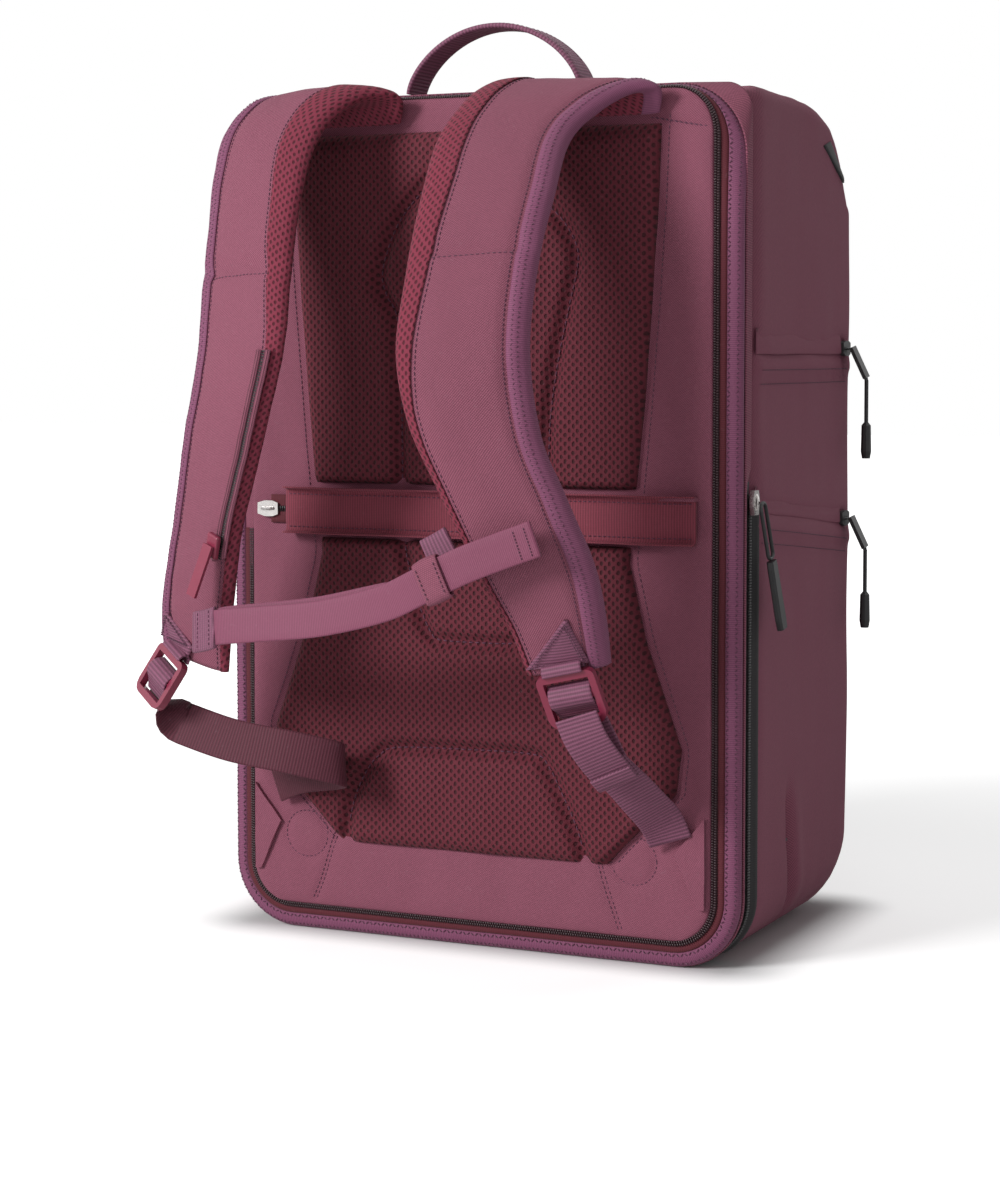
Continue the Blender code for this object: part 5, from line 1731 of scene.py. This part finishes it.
def makeAnchor(side):
    # webbing sewn to the strap's end as a triangle, which runs on to the lock's top bar
    stations = strapStations(side)
    centre, bar, down, front = lockFrame(side)

    def onStrap(back, s):
        travelled, i = 0.0, len(stations) - 1
        while travelled < back:
            travelled += (stations[i][0] - stations[i - 1][0]).length
            i -= 1
        return strapPoint(side, stations[i], s, 1, 0.0022)
    top, left, right = corners = [onStrap(back, s) for back, s in locks[side]["patch"]]
    out = (left - top).cross(right - top).normalized()
    if out.y > 0:
        out = -out
    fold = centre - down * locks["fold"]
    half = bar * locks["anchorWidth"] / 2
    edges = [(top.lerp(left, t), top.lerp(right, t)) for t in np.linspace(0.05, 1, 16)]
    edges += [(left.lerp(fold - half, t), right.lerp(fold + half, t)) for t in np.linspace(0.15, 1, 8)]
    rows = []
    for a, b in edges:
        upper = []
        for u in np.linspace(0, 1, 11):
            rise = 0.0010 * math.sin(math.pi * u) + ripple((u, a.z, 3), 0.02, 0.0003)
            upper.append(a.lerp(b, u) + out * rise)
        rows.append(upper + [p - out * locks["anchorThickness"] for p in reversed(upper)])
    addTube(side + "Anchor", rows, "webbing", "harness_panel", ["anchor_webbing_" + side])
    middle = (top + left + right) / 3
    for inset in (0.14, 0.24):
        shrunk = [p.lerp(middle, inset) + out * 0.0012 for p in corners]
        for a, b in zip(shrunk, shrunk[1:] + shrunk[:1]):
            sew("harness_panel", [a.lerp(b, t) for t in np.linspace(0, 1, 12)], out, 0.0022, 0.0003)
    loop = []
    for i in range(13):
        angle = math.pi * i / 12
        below = 0.0160 + 0.0046 * math.sin(angle)
        loop.append(centre - down * below + front * 0.0034 * math.cos(angle))
    belt(side + "AnchorLoop", framesAlong(loop, [bar] * len(loop)), locks["anchorWidth"] * 0.98,
         locks["anchorThickness"], "webbing", "harness_panel")


def makeLowerBelt(side):
    centre, bar, down, outward = lockFrame(side)
    behind = centre - outward * 0.0040
    start = behind + down * 0.014 - outward * 0.0025
    centres, hints = routePoints(belts[side], 10)
    hints = [Vector(hint) for hint in hints]
    if hints[0].dot(bar) < 0:
        bar = -bar
    shares = (0.25, 0.5, 0.75)
    lead = [behind - down * 0.004, behind + down * 0.004, start]
    lead += [start.lerp(centres[0], share) for share in shares]
    leadHints = [bar] * 3 + [bar.lerp(hints[0], share) for share in shares]
    frames = framesAlong(lead + centres, leadHints + hints)
    frames = waved(frames, lambda p: (p.x, p.y, p.z + 3), 0.03, 0.0008)
    belt(side + "LowerBelt", frames, belts["width"], belts["thickness"], belts["finish"][side],
         "harness_panel", ["lower_webbing_" + side])
    # over the middle bar, back up inside the lock
    over = smoothPath([centre + down * along + outward * lift for along, lift in belts["overBar"]], 4)
    over = [Vector(p) for p in over]
    belt(side + "BeltOverBar", framesAlong(over, [bar] * len(over)), belts["width"] * 1.02,
         belts["thickness"], "webbing", "harness_panel")


def makeTail():
    # the loose end of the right webbing, with its hem folded under
    frames = waved(routeFrames(belts["tail"], 8), lambda p: (p.x, 9, p.z), 0.02, 0.0012)
    belt("rightTail", frames, belts["width"], belts["thickness"], "webbing", "harness_panel")
    point, across, out = frames[-1]
    tangent = (point - frames[-3][0]).normalized()
    fold = smoothPath([point + tangent * past + out * lift for past, lift in belts["hem"]], 5)
    fold = [Vector(p) for p in fold]
    belt("rightTailHem", framesAlong(fold, [across] * len(fold)), belts["width"] * 1.01, 0.0014,
         "webbing", "harness_panel")


chest = {
    "strap": [
        (-0.1130, 0.1120, 0.1932, 0.05, 0.10, 0.99), (-0.1010, 0.1170, 0.1960, 0.05, 0.10, 0.99),
        (-0.0750, 0.1190, 0.1990, 0.05, 0.15, 0.98), (-0.0350, 0.1205, 0.2040, 0.05, 0.12, 0.99),
        (0.0050, 0.1230, 0.2140, -0.10, 0.05, 0.99), (0.0300, 0.1260, 0.2250, -0.30, 0, 0.95),
        (0.0580, 0.1265, 0.2380, -0.30, 0, 0.95), (0.0950, 0.1215, 0.2520, -0.30, 0, 0.95),
    ],
    "cuff": [
        (0.0300, 0.1260, 0.2250, -0.30, 0, 0.95), (0.0370, 0.1264, 0.2283, -0.30, 0, 0.95),
        (0.0440, 0.1266, 0.2315, -0.30, 0, 0.95),
    ],
    "keeper": [
        (-0.1260, 0.1040, 0.1905, 0.05, 0.10, 0.99), (-0.1140, 0.1110, 0.1930, 0.05, 0.10, 0.99),
        (-0.1050, 0.1165, 0.1955, 0.05, 0.10, 0.99),
    ],
    "ring": [
        (0.0260, 0.1120, 0.2400, -0.30, 0, 0.95), (0.0340, 0.1120, 0.2440, -0.30, 0, 0.95),
        (0.0410, 0.1115, 0.2480, -0.30, 0, 0.95),
    ],
    "width": 0.020,
    "thickness": 0.0016,
    "underShare": 0.60,
    "cuffSize": (0.0245, 0.0062),
    "keeperSize": (0.024, 0.0030),
    "ringSize": (0.018, 0.0030),
}


def sewAcross(body, frame, lift, half, pitch, radius=0.00028):
    point, across, out = frame
    line = [point + across * u + out * lift for u in np.linspace(-half, half, 8)]
    sew(body, line, out, pitch, radius)


def makeChest():
    frames = waved(routeFrames(chest["strap"], 12), lambda p: (p.x, 2, p.z), 0.03, 0.0008)
    belt("chestStrap", frames, chest["width"], chest["thickness"], "chestWeb", "sternum_strap",
         ["sternum_webbing"])
    # the second layer lies behind, a little lower at its free end
    count = int(len(frames) * chest["underShare"])
    under = []
    for i, (point, across, out) in enumerate(frames[:count]):
        share = i / (count - 1)
        behind = 0.0019 + 0.0022 * math.sin(math.pi * share)
        drop = 0.0010 + 0.0034 * share * (1 - share**6)
        under.append((point - out * behind + across * drop, across, out))
    belt("chestStrapUnder", under, chest["width"] * 0.96, 0.0014, "chestWeb", "sternum_strap")
    # two rows of stitches across the free end
    for last in (0.95, 0.975):
        sewAcross("sternum_strap", frames[int(len(frames) * last)], 0.0010, 0.0085, 0.0018, 0.00035)
    frames = routeFrames(chest["cuff"], 6)
    rows = sweepRows(frames, beltOutline(*chest["cuffSize"]))
    for i, row in enumerate(rows):
        swell = 0.0006 * math.sin(math.pi * i / (len(rows) - 1))
        middle = frames[i][0]
        rows[i] = [p + (p - middle).normalized() * (swell + ripple(p, 0.012, 0.0004)) for p in row]
    mesh = gridMesh("chestCuff", rows, closeAcross=True)
    cuff = addPiece("chestCuff", mesh, "twill", "sternum_strap", ["sternum_cuff"], fixNormals=True)
    thicken(cuff, 0.0010)
    for end in (2, -3):
        sewAcross("sternum_strap", frames[end], 0.0038, 0.0095, 0.0026)
    frames = routeFrames(chest["keeper"], 6)
    belt("chestKeeper", frames, *chest["keeperSize"], "webbing", "harness_panel", ["sternum_keeper"])
    for end in (3, -4):
        sewAcross("harness_panel", frames[end], 0.0016, 0.010, 0.0026)
    belt("chestHookRing", routeFrames(chest["ring"], 6), *chest["ringSize"], "webbing", "harness_panel",
         ["sternum_hook_ring"])


print("making the webbings")
for side in ("right", "left"):
    makeAnchor(side)
    makeLowerBelt(side)
makeTail()
makeChest()


# hard nodes keep their own form, with softer edges and their own materials
hardNodes = {
    "ladder_lock_right": ("wine", 0.0009),
    "ladder_lock_left": ("wine", 0.0009),
    "main_slider": ("silver", 0.0005),
    "main_pull_loop": ("blackRubber", 0.0003),
    "main_pull_grip": ("blackRubber", 0.0006),
    "upper_pocket_slider": ("blackRubber", 0.0005),
    "lower_pocket_slider": ("blackRubber", 0.0005),
    "upper_pocket_pull_tab": ("blackRubber", 0.0004),
    "lower_pocket_pull_tab": ("blackRubber", 0.0004),
    "upper_pocket_pull_cord": ("blackRubber", 0.0002),
    "lower_pocket_pull_cord": ("blackRubber", 0.0002),
    "band_slider": ("silver", 0.0005),
    "strap_slider": ("wine", 0.0005),
    "strap_pull": ("wine", 0.0004),
    "frame_sheet": ("board", 0.0004),
    "base_board": ("board", 0.0004),
}


def finishNodes():
    for name, (finish, width) in hardNodes.items():
        node = frame["nodes"][name]
        node.data.materials.clear()
        node.data.materials.append(materials[finish])
        soften(node, width)


# a thin cord loop joins each pocket pull's tab to its hanging cord
pullLoops = {
    "heights": {"upper": 0.352, "lower": 0.2468},
    "pivot": (0.1708, 0.079),
    "tab": (0.40, 0.12, -0.91),
    "tabLength": 0.0188,
    "foot": (0.1788, 0.0814),
    "footDrop": 0.0036,
    "halfWidth": 0.0017,
    "radius": 0.0007,
}


def makePullLoops():
    for name, z in pullLoops["heights"].items():
        end = Vector((*pullLoops["pivot"], z)) + Vector(pullLoops["tab"]).normalized() * pullLoops["tabLength"]
        foot = Vector((*pullLoops["foot"], end.z - pullLoops["footDrop"]))
        centre = (end + foot) / 2
        up = (end - foot) / 2
        side = Vector((0, 1, 0)) * pullLoops["halfWidth"]
        ring = [centre + up * 1.25 * math.cos(a) + side * math.sin(a)
                for a in np.linspace(0, 2 * math.pi, 20, endpoint=False)]
        mesh = ringMesh(name + "PullLoop", ring, pullLoops["radius"], 8)
        addPiece(name + "PullLoop", mesh, "blackRubber", name + "_zip_pull", fixNormals=True)


def makeStitches():
    for body, places in stitches.items():
        beads("stitches_" + body + "_thread", places, "thread", body)


print("finishing the hard nodes, cord loops and stitches")
finishNodes()
makePullLoops()
makeStitches()
makeCamera()
makeLamps()
makeWorld()
makeFloor()
bpy.context.scene.view_settings.view_transform = "Standard"
